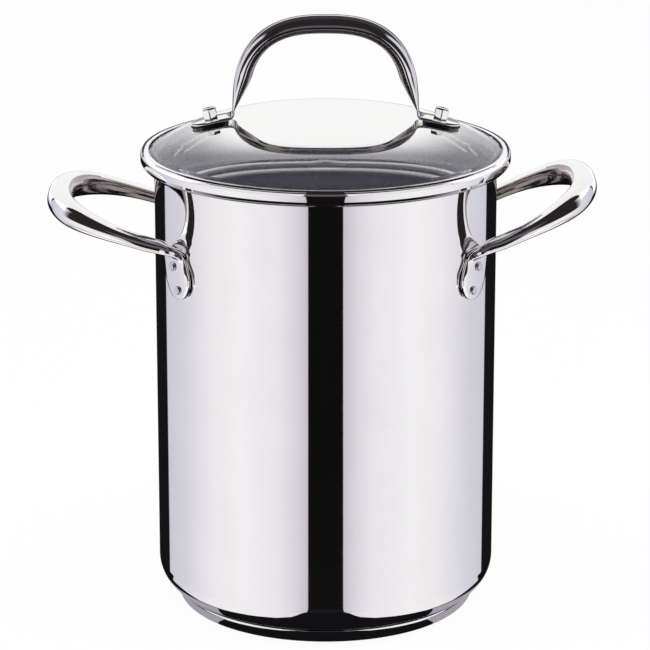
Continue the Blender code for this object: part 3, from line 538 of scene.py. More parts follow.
def mirrored(half):
    """The other half of a route that has its middle in the plane where x is 0."""
    return [(-point[0], *point[1:]) for point in half[-2::-1]]


def heading_at(route, index):
    """The direction in which a route runs at one of its points."""
    before = Vector(route[max(index - 1, 0)][:3])
    after = Vector(route[min(index + 1, len(route) - 1)][:3])
    return (after - before).normalized()


# The pot


def make_shell():
    corner = (POT_OUTER_RADIUS - BOTTOM_CORNER, SHELL_UNDERSIDE + BOTTOM_CORNER)
    flare = (POT_OUTER_RADIUS + FLARE_RADIUS, LIP_TOP - POT_WALL - FLARE_RADIUS)
    bead = (LIP_RADIUS - LIP_BEAD_RADIUS, LIP_TOP - LIP_BEAD_RADIUS)
    outside = arc(bead, LIP_BEAD_RADIUS, 90, -130, 16)
    outside += arc(flare, FLARE_RADIUS, 90, 180, 14)
    outside += arc(corner, BOTTOM_CORNER, 0, -90, 24)
    outside += [(0.0, SHELL_UNDERSIDE)]
    inside = [(0.0, FLOOR)]
    inside += arc(corner, BOTTOM_CORNER - POT_WALL, -90, 0, 24)
    inside += arc(flare, FLARE_RADIUS + POT_WALL, 180, 90, 14)
    mesh = turned("shell", inside + outside)
    piece = add_piece("shell", mesh, BODY_STEEL, "pot", "polished_steel", "pot_shell")
    mesh.materials.append(SATIN_STEEL)
    for face in mesh.polygons:
        middle = face.center
        facing_in = face.normal.x * middle.x + face.normal.y * middle.y < 0
        in_wall = hypot(middle.x, middle.y) < POT_INNER_RADIUS + POT_WALL / 4
        in_height = FLOOR - POT_WALL / 2 < middle.z < LIP_TOP - FLARE_RADIUS
        if in_wall and in_height and (facing_in or face.normal.z > 0.5):
            face.material_index = 1
    return piece


def make_cap():
    corner = (CAP_RADIUS - CAP_DRAFT - CAP_CORNER, CAP_CORNER)
    lean = degrees(atan2(CAP_DRAFT, CAP_TOP - CAP_CORNER))
    profile = [(0.0, CAP_THICKNESS)]
    profile += arc(corner, CAP_CORNER - CAP_THICKNESS, -90, 0, 10)
    profile += arc((CAP_RADIUS - CAP_THICKNESS + CAP_EDGE, CAP_TOP - CAP_EDGE), CAP_EDGE, 180, 90, 4)
    profile += arc((CAP_RADIUS - CAP_EDGE, CAP_TOP - CAP_EDGE), CAP_EDGE, 90, 0, 4)
    profile += arc(corner, CAP_CORNER, -lean, -90, 14)
    profile += [(0.0, 0.0)]
    add_piece("cap", turned("cap", profile), BODY_STEEL, "pot", "polished_steel", "base_cap")


def wall_direction(angle):
    return Vector((*polar(1.0, radians(angle)), 0.0))


def pad_angle(height):
    return between(PAD_LOW_ANGLE, PAD_HIGH_ANGLE, (height - PAD_BOTTOM) / PAD_HEIGHT)


def grip_section(stage):
    """Width, thickness and squareness of the strap at a stage: pad 0 to 1, ankle to 2, grip to 3."""
    if stage < 1:
        drop = min(stage * PAD_HEIGHT / (PAD_WIDTH / 2), 1.0)
        rounded = sqrt(max(1 - (1 - drop) ** 2, 0.0004))
        return PAD_WIDTH * rounded, PAD_THICKNESS * max(rounded, 0.35) ** 0.5, PAD_SECTION[2]
    if stage < 2:
        share = stage - 1
        return [ease(*ends) for ends in zip(PAD_SECTION, ANKLE_SECTION, (share * 1.2, share, share))]
    share = (stage - 2) * 1.5
    return [ease(*ends) for ends in zip(ANKLE_SECTION, GRIP_SECTION, (share, share, share))]


def grip_guides(rise, reach):
    """Points with their stage along half of a side handle, from the foot of a pad to the tip."""
    guides = []
    for distance in (0.0, 0.5, 1.0):
        height = PAD_BOTTOM + distance * PAD_HEIGHT
        spot = wall_direction(pad_angle(height)) * PAD_OFFSET
        guides.append((spot.x, spot.y, height, distance))
    outward = wall_direction(PAD_HIGH_ANGLE)
    top = Vector(guides[-1][:3])
    turn = radians(90 - rise)
    for step in (1, 2, 3):
        angle = turn * step / 3
        spot = top + outward * BEND_RADIUS * (1 - cos(angle))
        guides.append((spot.x, spot.y, spot.z + BEND_RADIUS * sin(angle), 1 + 0.2 * step))
    bend_end = Vector(guides[-1][:3])
    root_x = PAD_OFFSET * cos(radians(PAD_HIGH_ANGLE)) + GRIP_SETOFF
    run = root_x - bend_end.x
    root = Vector((root_x, GRIP_HALF_SPAN, bend_end.z + run * tan(radians(rise))))
    middle = (bend_end + root) / 2 + Vector((-run, GRIP_HALF_SPAN - bend_end.y, 0.0)) * ANKLE_BOW
    guides.append((*middle, 1.8))
    steps = 18
    for step in range(steps + 1):
        outwards, aside = superellipse(1 - step / steps, GRIP_ROUNDNESS)
        out = reach * outwards * cos(radians(rise))
        up = reach * outwards * sin(radians(rise))
        guides.append((root.x + out, GRIP_HALF_SPAN * aside, root.z + up, 2 + step / steps))
    return guides


def handle_mesh(name, rise, reach):
    """A side handle, from pad to pad. Its far half mirrors the near one."""
    route = smooth_route(grip_guides(rise, reach), HANDLE_STEPS)
    tilt = radians(rise)
    plane_up = Vector((-sin(tilt), 0.0, cos(tilt)))
    rings = []
    for index, (x, y, z, stage) in enumerate(route):
        centre = Vector((x, y, z))
        heading = heading_at(route, index) if index < HANDLE_STEPS else Vector((0.0, -1.0, 0.0))
        flat_to_wall = 1 - min(max(stage - 1, 0.0), 1.0)
        radial = Vector((x, y, 0.0)).normalized()
        round_wall = Vector((-radial.y, radial.x, 0.0))
        across = round_wall * flat_to_wall + heading.cross(-plane_up) * (1 - flat_to_wall)
        across = (across - heading * across.dot(heading)).normalized()
        through = heading.cross(across)
        width, thickness, squareness = grip_section(stage)
        points = cross_section(centre, across, through, width, thickness, squareness, HANDLE_SIDES)
        for number, point in enumerate(points):
            aside = (point - centre).dot(across)
            points[number] = point - radial * (flat_to_wall * aside * aside / (2 * PAD_OFFSET))
        rings.append(points)
    rings += [[Vector((point.x, -point.y, point.z)) for point in ring] for ring in rings[-2::-1]]
    mesh = lofted(name, rings)
    root = Vector(next(point[:3] for point in route if point[3] >= 2))
    middle = root * 0.7 + Vector(route[-1][:3]) * 0.3
    middle.y = 0.0
    shade_inside_faces(mesh, middle, plane_up, root.x - GRIP_SETOFF / 2)
    return mesh


def make_handles():
    handles = []
    sides = (("left", LEFT_RISE, LEFT_REACH, pi), ("right", RIGHT_RISE, RIGHT_REACH, 0.0))
    for side, rise, reach, turn in sides:
        name = f"grip_{side}"
        mesh = handle_mesh(name, rise, reach)
        mesh.transform(Matrix.Rotation(turn, 4, "Z"))
        handles.append(add_piece(name, mesh, CAST_STEEL, "pot", "polished_steel", f"handle_{side}"))
        # The faces inside the loop get the darker steel of painted shade.
        mesh.materials.append(SHADED_INNER_STEEL)
    return handles


def make_rivets():
    """Round rivet heads on the pads, a little hollow in the middle."""
    head_base = 2 * SEAT + PAD_THICKNESS
    radius = RIVET_HEAD_RADIUS
    height = RIVET_HEAD_HEIGHT
    profile = [(radius * across, head_base + height * up) for across, up in RIVET_CROWN]
    profile += arc((radius - height * 0.5, head_base + height * 0.5), height * 0.5, 80, -80, 8)
    profile += [(radius * 0.6, head_base - SEAT)]
    low = PAD_BOTTOM + LOW_RIVET_RISE
    for side, turn, way in (("left", 180, -1), ("right", 0, 1)):
        for row, sign in (("rear", way), ("front", -way)):
            for level, z in (("lower", low), ("upper", low + RIVET_SPACING)):
                name = f"head_rivet_{side}_{row}_{level}"
                outward = wall_direction(sign * pad_angle(z) + turn)
                spot = outward * POT_OUTER_RADIUS + Vector((0, 0, z))
                facing = outward.to_track_quat("Z", "Y").to_matrix().to_4x4()
                mesh = turned(name, profile, segments=RIVET_SEGMENTS)
                mesh.transform(Matrix.Translation(spot) @ facing)
                add_piece(name, mesh, RIVET_STEEL, "pot", "satin_steel")


# The lid


def dome_at(radius):
    """Height and slope of the glass's outside at a radius."""
    if radius < CROWN_REACH:
        slope = asin(radius / CROWN_RADIUS)
        return CROWN_CENTRE + CROWN_RADIUS * cos(slope), slope
    slope = asin((radius - CURVE_MIDDLE) / EDGE_CURVE_RADIUS)
    return CURVE_CENTRE + EDGE_CURVE_RADIUS * cos(slope), slope


def dome_points(depth, end_slope):
    """Points from the dome's middle out to a slope, on the surface a depth under its outside."""
    crown = CROWN_RADIUS - depth
    curve = EDGE_CURVE_RADIUS - depth
    points = []
    for step in range(40):
        angle = CROWN_SLOPE * step / 40
        points.append((crown * sin(angle), CROWN_CENTRE + crown * cos(angle)))
    for step in range(51):
        angle = CROWN_SLOPE + (end_slope - CROWN_SLOPE) * step / 50
        points.append((CURVE_MIDDLE + curve * sin(angle), CURVE_CENTRE + curve * cos(angle)))
    return points


def make_glass():
    inner_slope = acos((FLANGE_BOTTOM - CURVE_CENTRE) / (EDGE_CURVE_RADIUS - GLASS_THICKNESS))
    outer = dome_points(0.0, DOME_EDGE_SLOPE)
    edge_height = outer[-1][1]
    for share in (0.25, 0.5, 0.75, 1.0):
        outer.append((DOME_EDGE_RADIUS + GLASS_SHOULDER * share, ease(edge_height, FLANGE_TOP, share)))
    outer += arc((GLASS_RADIUS - GLASS_EDGE, FLANGE_TOP - GLASS_EDGE), GLASS_EDGE, 90, 0, 6)
    outer += arc((GLASS_RADIUS - GLASS_EDGE, FLANGE_BOTTOM + GLASS_EDGE), GLASS_EDGE, 0, -90, 6)
    mesh = turned("dome", outer + dome_points(GLASS_THICKNESS, inner_slope)[::-1], sharp=60)
    return add_piece("dome", mesh, GLASS, "lid", "clear_glass", "lid_glass")


def make_band():
    """The band is rolled over the glass, with its edge turned down over the lip and a skirt inside."""
    sheet = BAND_SHEET
    shoulder = (BAND_RADIUS - BAND_SHOULDER, BAND_TOP - BAND_SHOULDER)
    reach_in = GLASS_RADIUS - BAND_GRIP
    edge = (BAND_RADIUS - BAND_DRAFT - BAND_EDGE, BAND_BOTTOM - BAND_DROP + BAND_EDGE)
    profile = arc((reach_in + sheet / 2, BAND_TOP - sheet / 2), sheet / 2, 180, 90, 8)
    profile += arc(shoulder, BAND_SHOULDER, 90, 0, 16)
    profile += [(BAND_RADIUS, BAND_BOTTOM + 2 * BAND_EDGE), (BAND_RADIUS, BAND_BOTTOM)]
    profile += arc(edge, BAND_EDGE, -15, -180, 12)
    inner = BAND_RADIUS - sheet
    skirt = SKIRT_RADIUS - sheet
    profile += [(inner, BAND_BOTTOM), (SKIRT_RADIUS, BAND_BOTTOM), (SKIRT_RADIUS, SKIRT_FOOT)]
    profile += [(skirt, SKIRT_FOOT), (skirt, BAND_BOTTOM + sheet), (inner, BAND_BOTTOM + sheet)]
    profile += [(inner, FLANGE_TOP + SEAT), (reach_in, FLANGE_TOP + SEAT)]
    mesh = turned("band", profile, closed=True, sharp=17)
    return add_piece("band", mesh, BODY_STEEL, "lid", "polished_steel", "lid_band")


def arch_guides():
    """Points with thickness, width and squareness along half of the arch, outer foot end to top."""
    height, lean = dome_at(SCREW_PLACE)
    out = Vector((cos(lean), 0.0, -sin(lean)))
    up = Vector((sin(lean), 0.0, cos(lean)))
    spot = Vector((SCREW_PLACE, 0.0, height)) + up * FOOT_MIDDLE
    guides = []
    for distance in (0.0, 0.02, 0.08, 0.2, 0.4, 0.7, 1.0, 1.3, 1.6):
        rounded = sqrt(max(1 - (1 - min(distance, 1.0)) ** 2, 0.0009))
        centre = spot + out * (FOOT_REACH - distance * FOOT_WIDTH / 2)
        guides.append((*centre, FOOT_THICKNESS, FOOT_WIDTH * rounded, FOOT_SQUARENESS))
    start = Vector(guides[-1][:3])
    root = Vector((ARCH_HALF_SPAN - FOOT_THICKNESS / 2, 0.0, ARCH_SPRING))
    pull = (start.x - root.x) * 0.9
    knots = (start, start - out * pull, root - Vector((0, 0, ARCH_ANKLE_RISE * 0.75)), root)
    for share in (0.15, 0.3, 0.45, 0.6, 0.75, 0.9):
        rest = 1 - share
        centre = knots[0] * rest**3 + knots[1] * (3 * share * rest**2)
        centre += knots[2] * (3 * share**2 * rest) + knots[3] * share**3
        squareness = between(FOOT_SQUARENESS, SPRING_SQUARENESS, share)
        guides.append((*centre, FOOT_THICKNESS, FOOT_WIDTH, squareness))
    steps = 26
    for step in range(steps + 1):
        aside, above = superellipse(step / steps, ARCH_ROUNDNESS)
        rise = ARCH_HEIGHT * above
        slope_x = aside ** (ARCH_ROUNDNESS - 1) / ARCH_HALF_SPAN
        slope_z = above ** (ARCH_ROUNDNESS - 1) / ARCH_HEIGHT
        normal = Vector((slope_x, 0.0, slope_z)).normalized()
        growth = 1 - (1 - min(rise / ARCH_SWELL, 1.0)) ** ARCH_SWELL_POWER
        thickness = between(FOOT_THICKNESS, ARCH_THICKNESS, growth)
        width = ease(FOOT_WIDTH, ARCH_WIDTH, step / steps)
        centre = Vector((ARCH_HALF_SPAN * aside, 0.0, ARCH_SPRING + rise)) - normal * thickness / 2
        squareness = between(SPRING_SQUARENESS, CROWN_SQUARENESS, growth)
        guides.append((*centre, thickness, width, squareness))
    return guides


def make_arch():
    half = smooth_route(arch_guides(), ARCH_STEPS)
    route = half + mirrored(half)
    across = Vector((0.0, 1.0, 0.0))
    rings = []
    for index, (x, _, z, thickness, width, squareness) in enumerate(route):
        through = heading_at(route, index).cross(across)
        centre = Vector((x, 0.0, z))
        rings.append(cross_section(centre, across, through, width, thickness, squareness, ARCH_SIDES))
    mesh = lofted("arch", rings)
    piece = add_piece("arch", mesh, CAST_STEEL, "lid", "polished_steel", "lid_handle")
    # The faces under the arch get the darker steel of painted shade.
    mesh.materials.append(SHADED_INNER_STEEL)
    shade_inside_faces(mesh, Vector((0.0, 0.0, ARCH_SPRING)), across, 0.0)
    return piece


def make_nuts():
    """Hexagon nuts with chamfered tops."""
    nuts = []
    top = NUT_BASE + NUT_HEIGHT
    height, slope = dome_at(SCREW_PLACE)
    place = Matrix.Translation((SCREW_PLACE, 0.0, height)) @ Matrix.Rotation(slope, 4, "Y")
    for side, turn in (("left", pi), ("right", 0.0)):
        rows = []
        for level, share in ((NUT_BASE, 1.0), (top - NUT_CHAMFER, 1.0), (top, NUT_TOP_SHARE)):
            radius = NUT_CORNER_RADIUS * share
            corners = [polar(radius, radians(angle)) for angle in range(30, 390, 60)]
            rows.append([Vector((*corner, level)) for corner in corners])
        mesh = lofted(f"nut_{side}", rows, NUT_BEVEL, 25)
        mesh.transform(Matrix.Rotation(turn, 4, "Z") @ place)
        name = f"cap_nut_{side}"
        nuts.append(add_piece(f"nut_{side}", mesh, CAST_STEEL, "lid", "polished_steel", name))
    return nuts


# The basket


def sheet_mesh(name, shape):
    """Merges the cells of a sheet's outer face and gives them the basket's thickness, inwards."""
    bmesh.ops.remove_doubles(shape, verts=shape.verts, dist=0.00001)
    bmesh.ops.recalc_face_normals(shape, faces=shape.faces)
    bmesh.ops.solidify(shape, geom=shape.faces[:], thickness=BASKET_SHEET)
    return finish_mesh(name, shape)


def make_basket_wall():
    """A tube of square cells of sheet, each with a round hole, between two plain bands."""
    shape = bmesh.new()
    half = pi / HOLE_COLUMNS
    per_side = HOLE_POINTS // 4
    top_row = WALL_TOP - PLAIN_BAND
    low_row = top_row - HOLE_ROWS * HOLE_ROW_PITCH

    def on_wall(angle, height):
        return shape.verts.new((*polar(BASKET_RADIUS, angle), height))

    edge = []  # points round a cell, in shares of its half sizes, from its lower left corner
    for point in range(HOLE_POINTS):
        side, step = divmod(point, per_side)
        along = -1 + 2 * step / per_side
        edge.append(((along, -1), (1, along), (-along, 1), (-1, -along))[side])
    for row in range(HOLE_ROWS):
        middle_height = low_row + (row + 0.5) * HOLE_ROW_PITCH
        for column in range(HOLE_COLUMNS):
            middle = (2 * column + row % 2) * half
            rings = []
            for share in (0.0, 0.5, 1.0):
                ring = []
                for point, (x, z) in enumerate(edge):
                    turn = radians(225) + 2 * pi * point / HOLE_POINTS
                    aside = HOLE_RADIUS * cos(turn) / BASKET_RADIUS
                    angle = middle + x * half * (1 - share) + aside * share
                    rise = z * HOLE_ROW_PITCH / 2 * (1 - share) + HOLE_RADIUS * sin(turn) * share
                    ring.append(on_wall(angle, middle_height + rise))
                rings.append(ring)
            skin(shape, rings)
    for low, high in ((WALL_BOTTOM, low_row), (top_row, WALL_TOP)):
        for column in range(HOLE_COLUMNS * per_side):
            left, right = (2 * half * (column + end) / per_side for end in (0, 1))
            corners = ((left, low), (right, low), (right, high), (left, high))
            shape.faces.new([on_wall(angle, height) for angle, height in corners])
    mesh = sheet_mesh("basket_tube", shape)
    add_piece("basket_tube", mesh, SATIN_STEEL, "basket", "satin_steel", "basket_wall")


def make_basket_base():
    """A dish with a hole in the middle, rings of holes round it, and a rim that meets the wall."""
    shape = bmesh.new()

    def edges_of(ring):
        return [shape.edges.new((a, b)) for a, b in zip(ring, ring[1:] + ring[:1])]

    corner = (BASE_RADIUS - BASE_CORNER, BASE_BOTTOM + BASE_CORNER)
    profile = arc(corner, BASE_CORNER, -90, 0, 10) + [(BASE_RADIUS, BASE_TOP)]
    rings = [ring_of(shape, radius, height, BASE_SEGMENTS) for radius, height in profile]
    flat_edges = edges_of(rings[0])
    for around in range(BASE_HOLE_RINGS + 1):
        holes = max(6 * around, 1)
        for number in range(holes):
            middle = polar(around * BASE_HOLE_PITCH, 2 * pi * number / holes)
            hole = ring_of(shape, BASE_HOLE_RADIUS, BASE_BOTTOM, HOLE_POINTS, *middle)
            flat_edges += edges_of(hole)
    bmesh.ops.triangle_fill(shape, use_beauty=True, edges=flat_edges, normal=(0.0, 0.0, -1.0))
    skin(shape, rings)
    mesh = sheet_mesh("basket_dish", shape)
    add_piece("basket_dish", mesh, SATIN_STEEL, "basket", "satin_steel", "basket_base")


def make_hoop():
    section = arc((HOOP_MIDDLE, HOOP_HEIGHT), HOOP_RADIUS, 180, -165, 23)
    mesh = turned("hoop", section, closed=True)
    return add_piece("hoop", mesh, WIRE_STEEL, "basket", "polished_steel", "basket_hoop")


def bail_guides():
    """Points along half of the flat bail, from the end in an ear to the kink's tip."""
    inside = EAR_BACK - BAIL_END
    route = [(inside, 0.0), ((inside + EAR_FACE) / 2, 0.0)]
    route += arc((BAIL_RADIUS - BAIL_BEND, BAIL_BEND), BAIL_BEND, -90, 0, 5)
    half_kink = degrees(KINK_WIDTH / 2 / BAIL_RADIUS)
    start = degrees(BAIL_BEND * 2.4 / BAIL_RADIUS)
    route += arc((0.0, 0.0), BAIL_RADIUS, start, 90 - half_kink, 24)
    half_width = route[-1][0]
    return route + [(half_width * across, BAIL_RADIUS + KINK_DEPTH * out) for across, out in KINK_SHAPE]


def make_bail():
    half = [(x, y, 0.0) for x, y in bail_guides()]
    route = smooth_route(half + mirrored(half), BAIL_STEPS)
    rings = []
    upward = Vector((0.0, 0.0, 1.0))
    thick = 2 * BAIL_WIRE_RADIUS
    for index, point in enumerate(route):
        aside = heading_at(route, index).cross(upward)
        rings.append(cross_section(Vector(point), aside, upward, thick, thick, 2, BAIL_SIDES))
    mesh = lofted("bail_wire", rings)
    slope = Matrix.Rotation(radians(BAIL_SLOPE), 4, "X")
    mesh.transform(Matrix.Translation((0, 0, PIVOT_HEIGHT)) @ slope)
    return add_piece("bail_wire", mesh, WIRE_STEEL, "bail", "polished_steel", "bail")


# Materials on the nodes that stay


def dress_nodes():
    looks = {
        "polished_steel": BODY_STEEL,
        "satin_steel": SATIN_STEEL,
        "aluminium": ALUMINIUM,
        "clear_glass": GLASS,
        "black_silicone": SILICONE,
    }
    slots = {entry["node"]: entry["material_slot"] for entry in frame["record"]["subparts"]}
    for name, node in frame["nodes"].items():
        look = looks[slots[name]]
        if name.startswith("rivet"):
            look = RIVET_STEEL
        if name.startswith("handle_screw"):
            look = SCREW_STEEL
        node.data.materials.clear()
        node.data.materials.append(look)


# Studio

WHITE = (1.0, 1.0, 1.0, 1.0)
CAMERA_PLACE = (-0.0003, -1.520, 0.58504)
CAMERA_TILT = 73.5148
CAMERA_LENS = 183.51
FLOOR_HALF = 6.0
FLOOR_GLOW = 1.04
FLOOR_SHADOW = 0.08
CARD_DISTANCE = 1.3

# What the polished steel shows of the panels, by the share of a half turn away from the front
PANEL_TONES = (
    (0.066, (199, 193, 200)),
    (0.115, (218, 215, 222)),
    (0.180, (233, 230, 234)),
    (0.330, (243, 241, 243)),
    (0.455, (238, 234, 237)),
    (0.540, (226, 223, 230)),
    (0.640, (211, 210, 219)),
    (0.750, (202, 200, 214)),
)
# What it shows of the gap, and how wide the gap is, by the share of a full turn over the top
GAP_TONES = (
    (0.000, (62, 60, 66)),
    (0.220, (36, 34, 36)),
    (0.400, (34, 32, 34)),
    (0.440, (14, 13, 14)),
    (0.470, (18, 17, 18)),
    (0.510, (84, 80, 84)),
    (0.535, (104, 100, 106)),
    (0.580, (80, 77, 82)),
    (0.660, (52, 50, 54)),
    (0.880, (56, 55, 60)),
    (0.956, (62, 60, 66)),
)
GAP_WIDTHS = ((0.46, 0.192), (0.50, 0.265), (0.58, 0.335), (0.66, 0.330), (0.72, 0.560), (0.95, 0.660))
GAP_BLUR = 0.004
# The table, by the share of a half turn away from the front
TABLE_TONES = (
    (0.460, (19, 18, 20)),
    (0.520, (60, 59, 63)),
    (0.600, (150, 148, 156)),
    (0.740, (190, 188, 196)),
    (0.760, (190, 188, 196)),
    (0.775, (22, 21, 23)),
)
FLAG_TONE = (22, 21, 23)
ROOM_TONE = (42, 38, 37)
# Where these begin and are full. Sides are angles away from the front, and the rest are elevations.
TABLE_EDGE = (-36.0, -33.0)
FLAG_SIDE = (137.2, 138.6)
FLAG_TOP = (-8.0, -10.0)
ROOM_SIDE = (104.0, 86.0)
ROOM_FOOT = (-3.0, 1.0)
CEILING = (38.0, 46.0)
THROUGH_GLASS = (0.26, 0.25, 0.30, 1.0)

# How far the painted shadow of the pot, a dark patch on the table, reaches, by the angle away from the
# front
SHADOW_REACH = ((0, 0.200), (8, 0.112), (13, 0.091), (20, 0.0855), (30, 0.083), (45, 0.081), (60, 0.082),
              (70, 0.086), (86, 0.092), (90, 0.118), (180, 0.118))
TABLE_RING_RADII = (0.050, 0.0805, 0.109)
DARK, DIM, PALE = range(3)  # the ring's materials
DIM_FROM, DIM_TO = 49, 130
PALE_TO = 90
RING_TO_PANEL = 1.45  # where the wall is reflected lies this much further round than on the table
RING_TO_PANEL_START = 0.028


def tones(kind, rows):
    """The stops of a ramp, with the colours that shown or tint makes of the tones."""
    return [(place, kind(*tone)) for place, tone in rows]


def panel_light(graph, turn):
    """The colour of the two tall panels, by the share of a half turn away from the front."""
    return graph.ramp(turn, tones(shown, PANEL_TONES))


def from_front(graph, x, y):
    """The angle from the front to a direction, either way round, in radians."""
    return graph.math("ARCTAN2", graph.math("ABSOLUTE", x), graph.math("MULTIPLY", y, -1.0))


def studio_light(graph):
    """The light from each direction: two tall pale panels, left and right, with a dark gap between
    them from the front over the top, low flags behind, a dim room over it all, and a table."""
    x, y, z = graph.coordinates("Generated")
    azimuth = graph.math("DEGREES", from_front(graph, x, y))
    elevation = graph.math("DEGREES", graph.math("ARCSINE", z))
    over = graph.math("DEGREES", graph.math("ARCTAN2", z, graph.math("MULTIPLY", y, -1.0)))
    turn = graph.math("DIVIDE", azimuth, 180.0)
    over_share = graph.math("MULTIPLY_ADD", over, 1 / 360, 0.5)
    gap_width = graph.ramp(over_share, [(place, (width,) * 3) for place, width in GAP_WIDTHS])
    past_gap = graph.math("SUBTRACT", graph.math("ABSOLUTE", x), gap_width)
    in_panel = graph.step(past_gap, -GAP_BLUR, GAP_BLUR)
    gap = graph.ramp(over_share, tones(shown, GAP_TONES))
    lit = graph.mix(in_panel, gap, panel_light(graph, turn))
    flag = graph.math("MULTIPLY", graph.step(azimuth, *FLAG_SIDE), graph.step(elevation, *FLAG_TOP))
    lit = graph.mix(flag, lit, (*tint(*FLAG_TONE), 1.0))
    room = graph.math("MULTIPLY", graph.step(elevation, *ROOM_FOOT), graph.step(azimuth, *ROOM_SIDE))
    room = graph.math("MULTIPLY", room, in_panel)
    room = graph.math("MAXIMUM", room, graph.step(elevation, *CEILING))
    lit = graph.mix(room, lit, (*tint(*ROOM_TONE), 1.0))
    table = graph.ramp(turn, tones(tint, TABLE_TONES))
    return graph.mix(graph.step(elevation, *TABLE_EDGE), table, lit)


def make_world():
    """White to the camera, plain to rays through glass, and the studio to all others."""
    world = bpy.data.worlds.new("studio")
    bpy.context.scene.world = world
    world.use_nodes = True
    graph = Graph(world.node_tree)
    path = graph.node("ShaderNodeLightPath")
    lit = graph.mix(path.outputs["Is Transmission Ray"], studio_light(graph), THROUGH_GLASS)
    lit = graph.mix(path.outputs["Is Camera Ray"], lit, WHITE)
    background = graph.node("ShaderNodeBackground", {"Color": lit})
    graph.surface(background.outputs[0], "ShaderNodeOutputWorld")


def hide_from(piece, *rays):
    for ray in rays:
        setattr(piece, f"visible_{ray}", False)


def make_floor():
    """A white floor that keeps a faint shadow. Reflections look past it to the studio."""
    corners = [(x * FLOOR_HALF, y * FLOOR_HALF, 0) for x, y in ((-1, -1), (1, -1), (1, 1), (-1, 1))]
    mesh = bpy.data.meshes.new("studio_floor")
    mesh.from_pydata(corners, [], [(0, 1, 2, 3)])
    floor = put("studio_floor", mesh)
    material, graph = new_material("white_floor")
    colour = graph.mix(graph.noise(3.0), (0.90, 0.90, 0.90, 1), (0.92, 0.92, 0.92, 1))
    diffuse = graph.node("ShaderNodeBsdfDiffuse", {"Color": colour})
    glow = graph.node("ShaderNodeEmission", {"Strength": FLOOR_GLOW})
    mostly_glow = graph.blend(FLOOR_SHADOW, glow.outputs[0], diffuse.outputs[0])
    path = graph.node("ShaderNodeLightPath")
    seen = graph.math("MAXIMUM", path.outputs["Is Camera Ray"], path.outputs["Is Transmission Ray"])
    graph.surface(graph.blend(seen, diffuse.outputs[0], mostly_glow))
    mesh.materials.append(material)
    hide_from(floor, "glossy")


def shadow_reach(angle):
    """Where the painted shadow, the dark patch on the table, ends, at an angle away from the front."""
    near, far = next(pair for pair in zip(SHADOW_REACH, SHADOW_REACH[1:]) if angle <= pair[1][0])
    return between(near[1], far[1], (angle - near[0]) / (far[0] - near[0]))


def make_table_ring():
    """What the base reflects of the table: a dark patch of painted shadow under the pot, pale card further
    out.
    """
    shape = bmesh.new()
    inner, middle, outer = TABLE_RING_RADII
    columns = []
    for step in range(-180, 181, 2):
        around = radians(step)
        radii = (inner, middle, min(shadow_reach(abs(step)), outer), outer)
        spots = [(radius * sin(around), -radius * cos(around), -0.0002) for radius in radii]
        columns.append([shape.verts.new(spot) for spot in spots])
    for index, (left, right) in enumerate(zip(columns, columns[1:])):
        angle = abs(-180 + 2 * index + 1)
        near_look = DIM if DIM_FROM <= angle <= DIM_TO else DARK
        # The middle band, out to the patch's reach, is the dark of the painted shadow.
        looks = (near_look, DARK, PALE if angle < PALE_TO else DARK)
        for band, look in enumerate(looks):
            face = shape.faces.new((left[band], right[band], right[band + 1], left[band + 1]))
            face.material_index = look
    mesh = bpy.data.meshes.new("table_ring")
    shape.to_mesh(mesh)
    shape.free()
    # The dark material paints the pot's shadow on the table.
    for name, tone in (("table_dark_painted_shadow", (19, 18, 20)), ("table_dim", (168, 165, 174)), ("table_pale", None)):
        material, graph = new_material(name)
        if tone:
            light = (*tint(*tone), 1.0)
        else:
            x, y, _ = graph.coordinates()
            angle = from_front(graph, x, y)
            turn = graph.math("MULTIPLY_ADD", angle, RING_TO_PANEL / pi, RING_TO_PANEL_START)
            light = panel_light(graph, turn)
        graph.surface(graph.node("ShaderNodeEmission", {"Color": light}).outputs[0])
        mesh.materials.append(material)
    ring = put("table_ring", mesh)
    hide_from(ring, "camera", "diffuse", "transmission", "shadow")


def make_lamp():
    data = bpy.data.lights.new("soft_lamp", "AREA")
    data.shape = "DISK"
    data.size = 2.4
    data.energy = 26.0
    lamp = put("soft_lamp", data)
    lamp.location = (0.0, -0.3, 2.2)
    hide_from(lamp, "glossy", "transmission")


def make_card(name, size, radiance, place, tilt, turn, receivers):
    """A plain white card, an area lamp that only shows as a reflection in its receivers."""
    data = bpy.data.lights.new(name, "AREA")
    data.shape = "RECTANGLE"
    data.size, data.size_y = size
    data.energy = radiance * pi * data.size * data.size_y
    card = put(name, data)
    card.location = place
    card.rotation_euler = (radians(tilt), 0.0, radians(turn))
    hide_from(card, "camera", "diffuse", "transmission")
    linked = bpy.data.collections.new(f"{name}_receivers")
    for receiver in receivers:
        linked.objects.link(receiver)
    card.light_linking.receiver_collection = linked
    return card


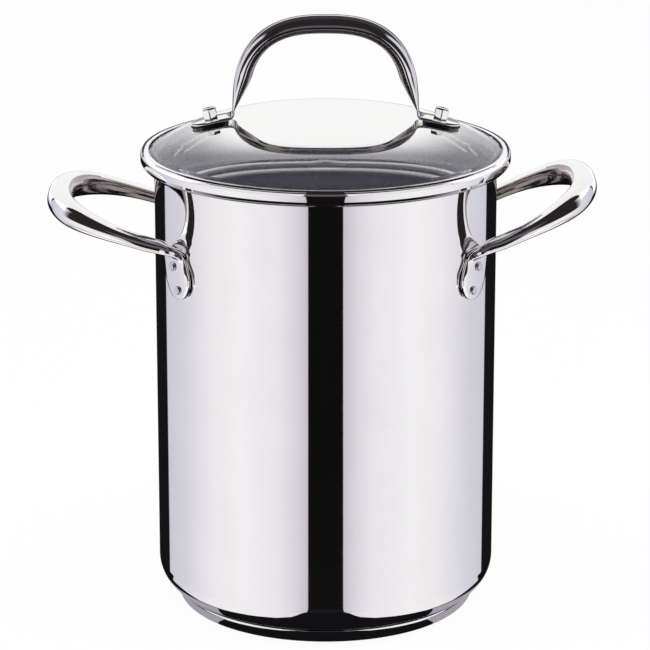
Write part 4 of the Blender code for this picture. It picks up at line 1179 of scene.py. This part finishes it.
def make_cards():
    for name, size, radiance, y, z, tilt, receivers in (
        ("glass_card", (1.8, 1.225), 0.90, 0.985, 0.619, -66.0, (DOME,)),
        ("overhead_card", (2.2, 1.05), 0.95, 0.675, 0.65, 0.0, HANDLES),
        ("rear_card", (2.2, 0.55), 0.95, 1.2, 0.375, -90.0, HANDLES),
        ("table_card", (0.72, 0.42), 0.80, -0.15, -0.001, 180.0, HANDLES),
        ("ridge_card", (1.8, 0.065), 0.30, 1.0, 0.3925, -90.0, (ARCH,)),
        ("foot_card", (1.8, 0.075), 0.95, 1.0, 0.4625, -90.0, (ARCH,)),
        ("nut_card", (1.8, 0.40), 0.95, 1.0, 0.52, -90.0, NUTS),
        ("lip_card", (1.8, 0.30), 0.95, 1.0, 0.60, -90.0, (BAND,)),
    ):
        make_card(name, size, radiance, (0.0, y, z), tilt, 0.0, receivers)
    for side, sign in (("left", -1), ("right", 1)):
        for kind, bearing, receivers in (("front", 47.0, (BAND, SHELL, *NUTS)), ("side", 116.0, (BAND,))):
            turn = radians(sign * bearing)
            place = (CARD_DISTANCE * sin(turn), -CARD_DISTANCE * cos(turn), 0.80)
            name = f"{kind}_card_{side}"
            make_card(name, (1.76, 1.12), 0.86, place, 90.0, sign * bearing, receivers)
    wire_card = make_card("wire_card", (0.60, 0.60), 0.90, (0.0, 0.20, 0.65), 0.0, 0.0, WIRES)
    wire_card.visible_diffuse = True
    blockers = bpy.data.collections.new("wire_card_blockers")
    blockers.objects.link(SHELL)
    wire_card.light_linking.blocker_collection = blockers


def make_camera():
    data = bpy.data.cameras.new("camera")
    data.sensor_width = 36.0
    data.lens = CAMERA_LENS
    data.clip_end = 20.0
    camera = put("camera", data)
    camera.location = CAMERA_PLACE
    camera.rotation_euler = (radians(CAMERA_TILT), 0.0, 0.0)
    bpy.context.scene.camera = camera


dress_nodes()
SHELL = make_shell()
make_cap()
HANDLES = make_handles()
make_rivets()
DOME = make_glass()
BAND = make_band()
ARCH = make_arch()
NUTS = make_nuts()
make_basket_wall()
make_basket_base()
WIRES = (make_hoop(), make_bail())
make_world()
make_floor()
make_table_ring()
make_lamp()
make_cards()
make_camera()
bpy.context.scene.view_settings.view_transform = "Standard"
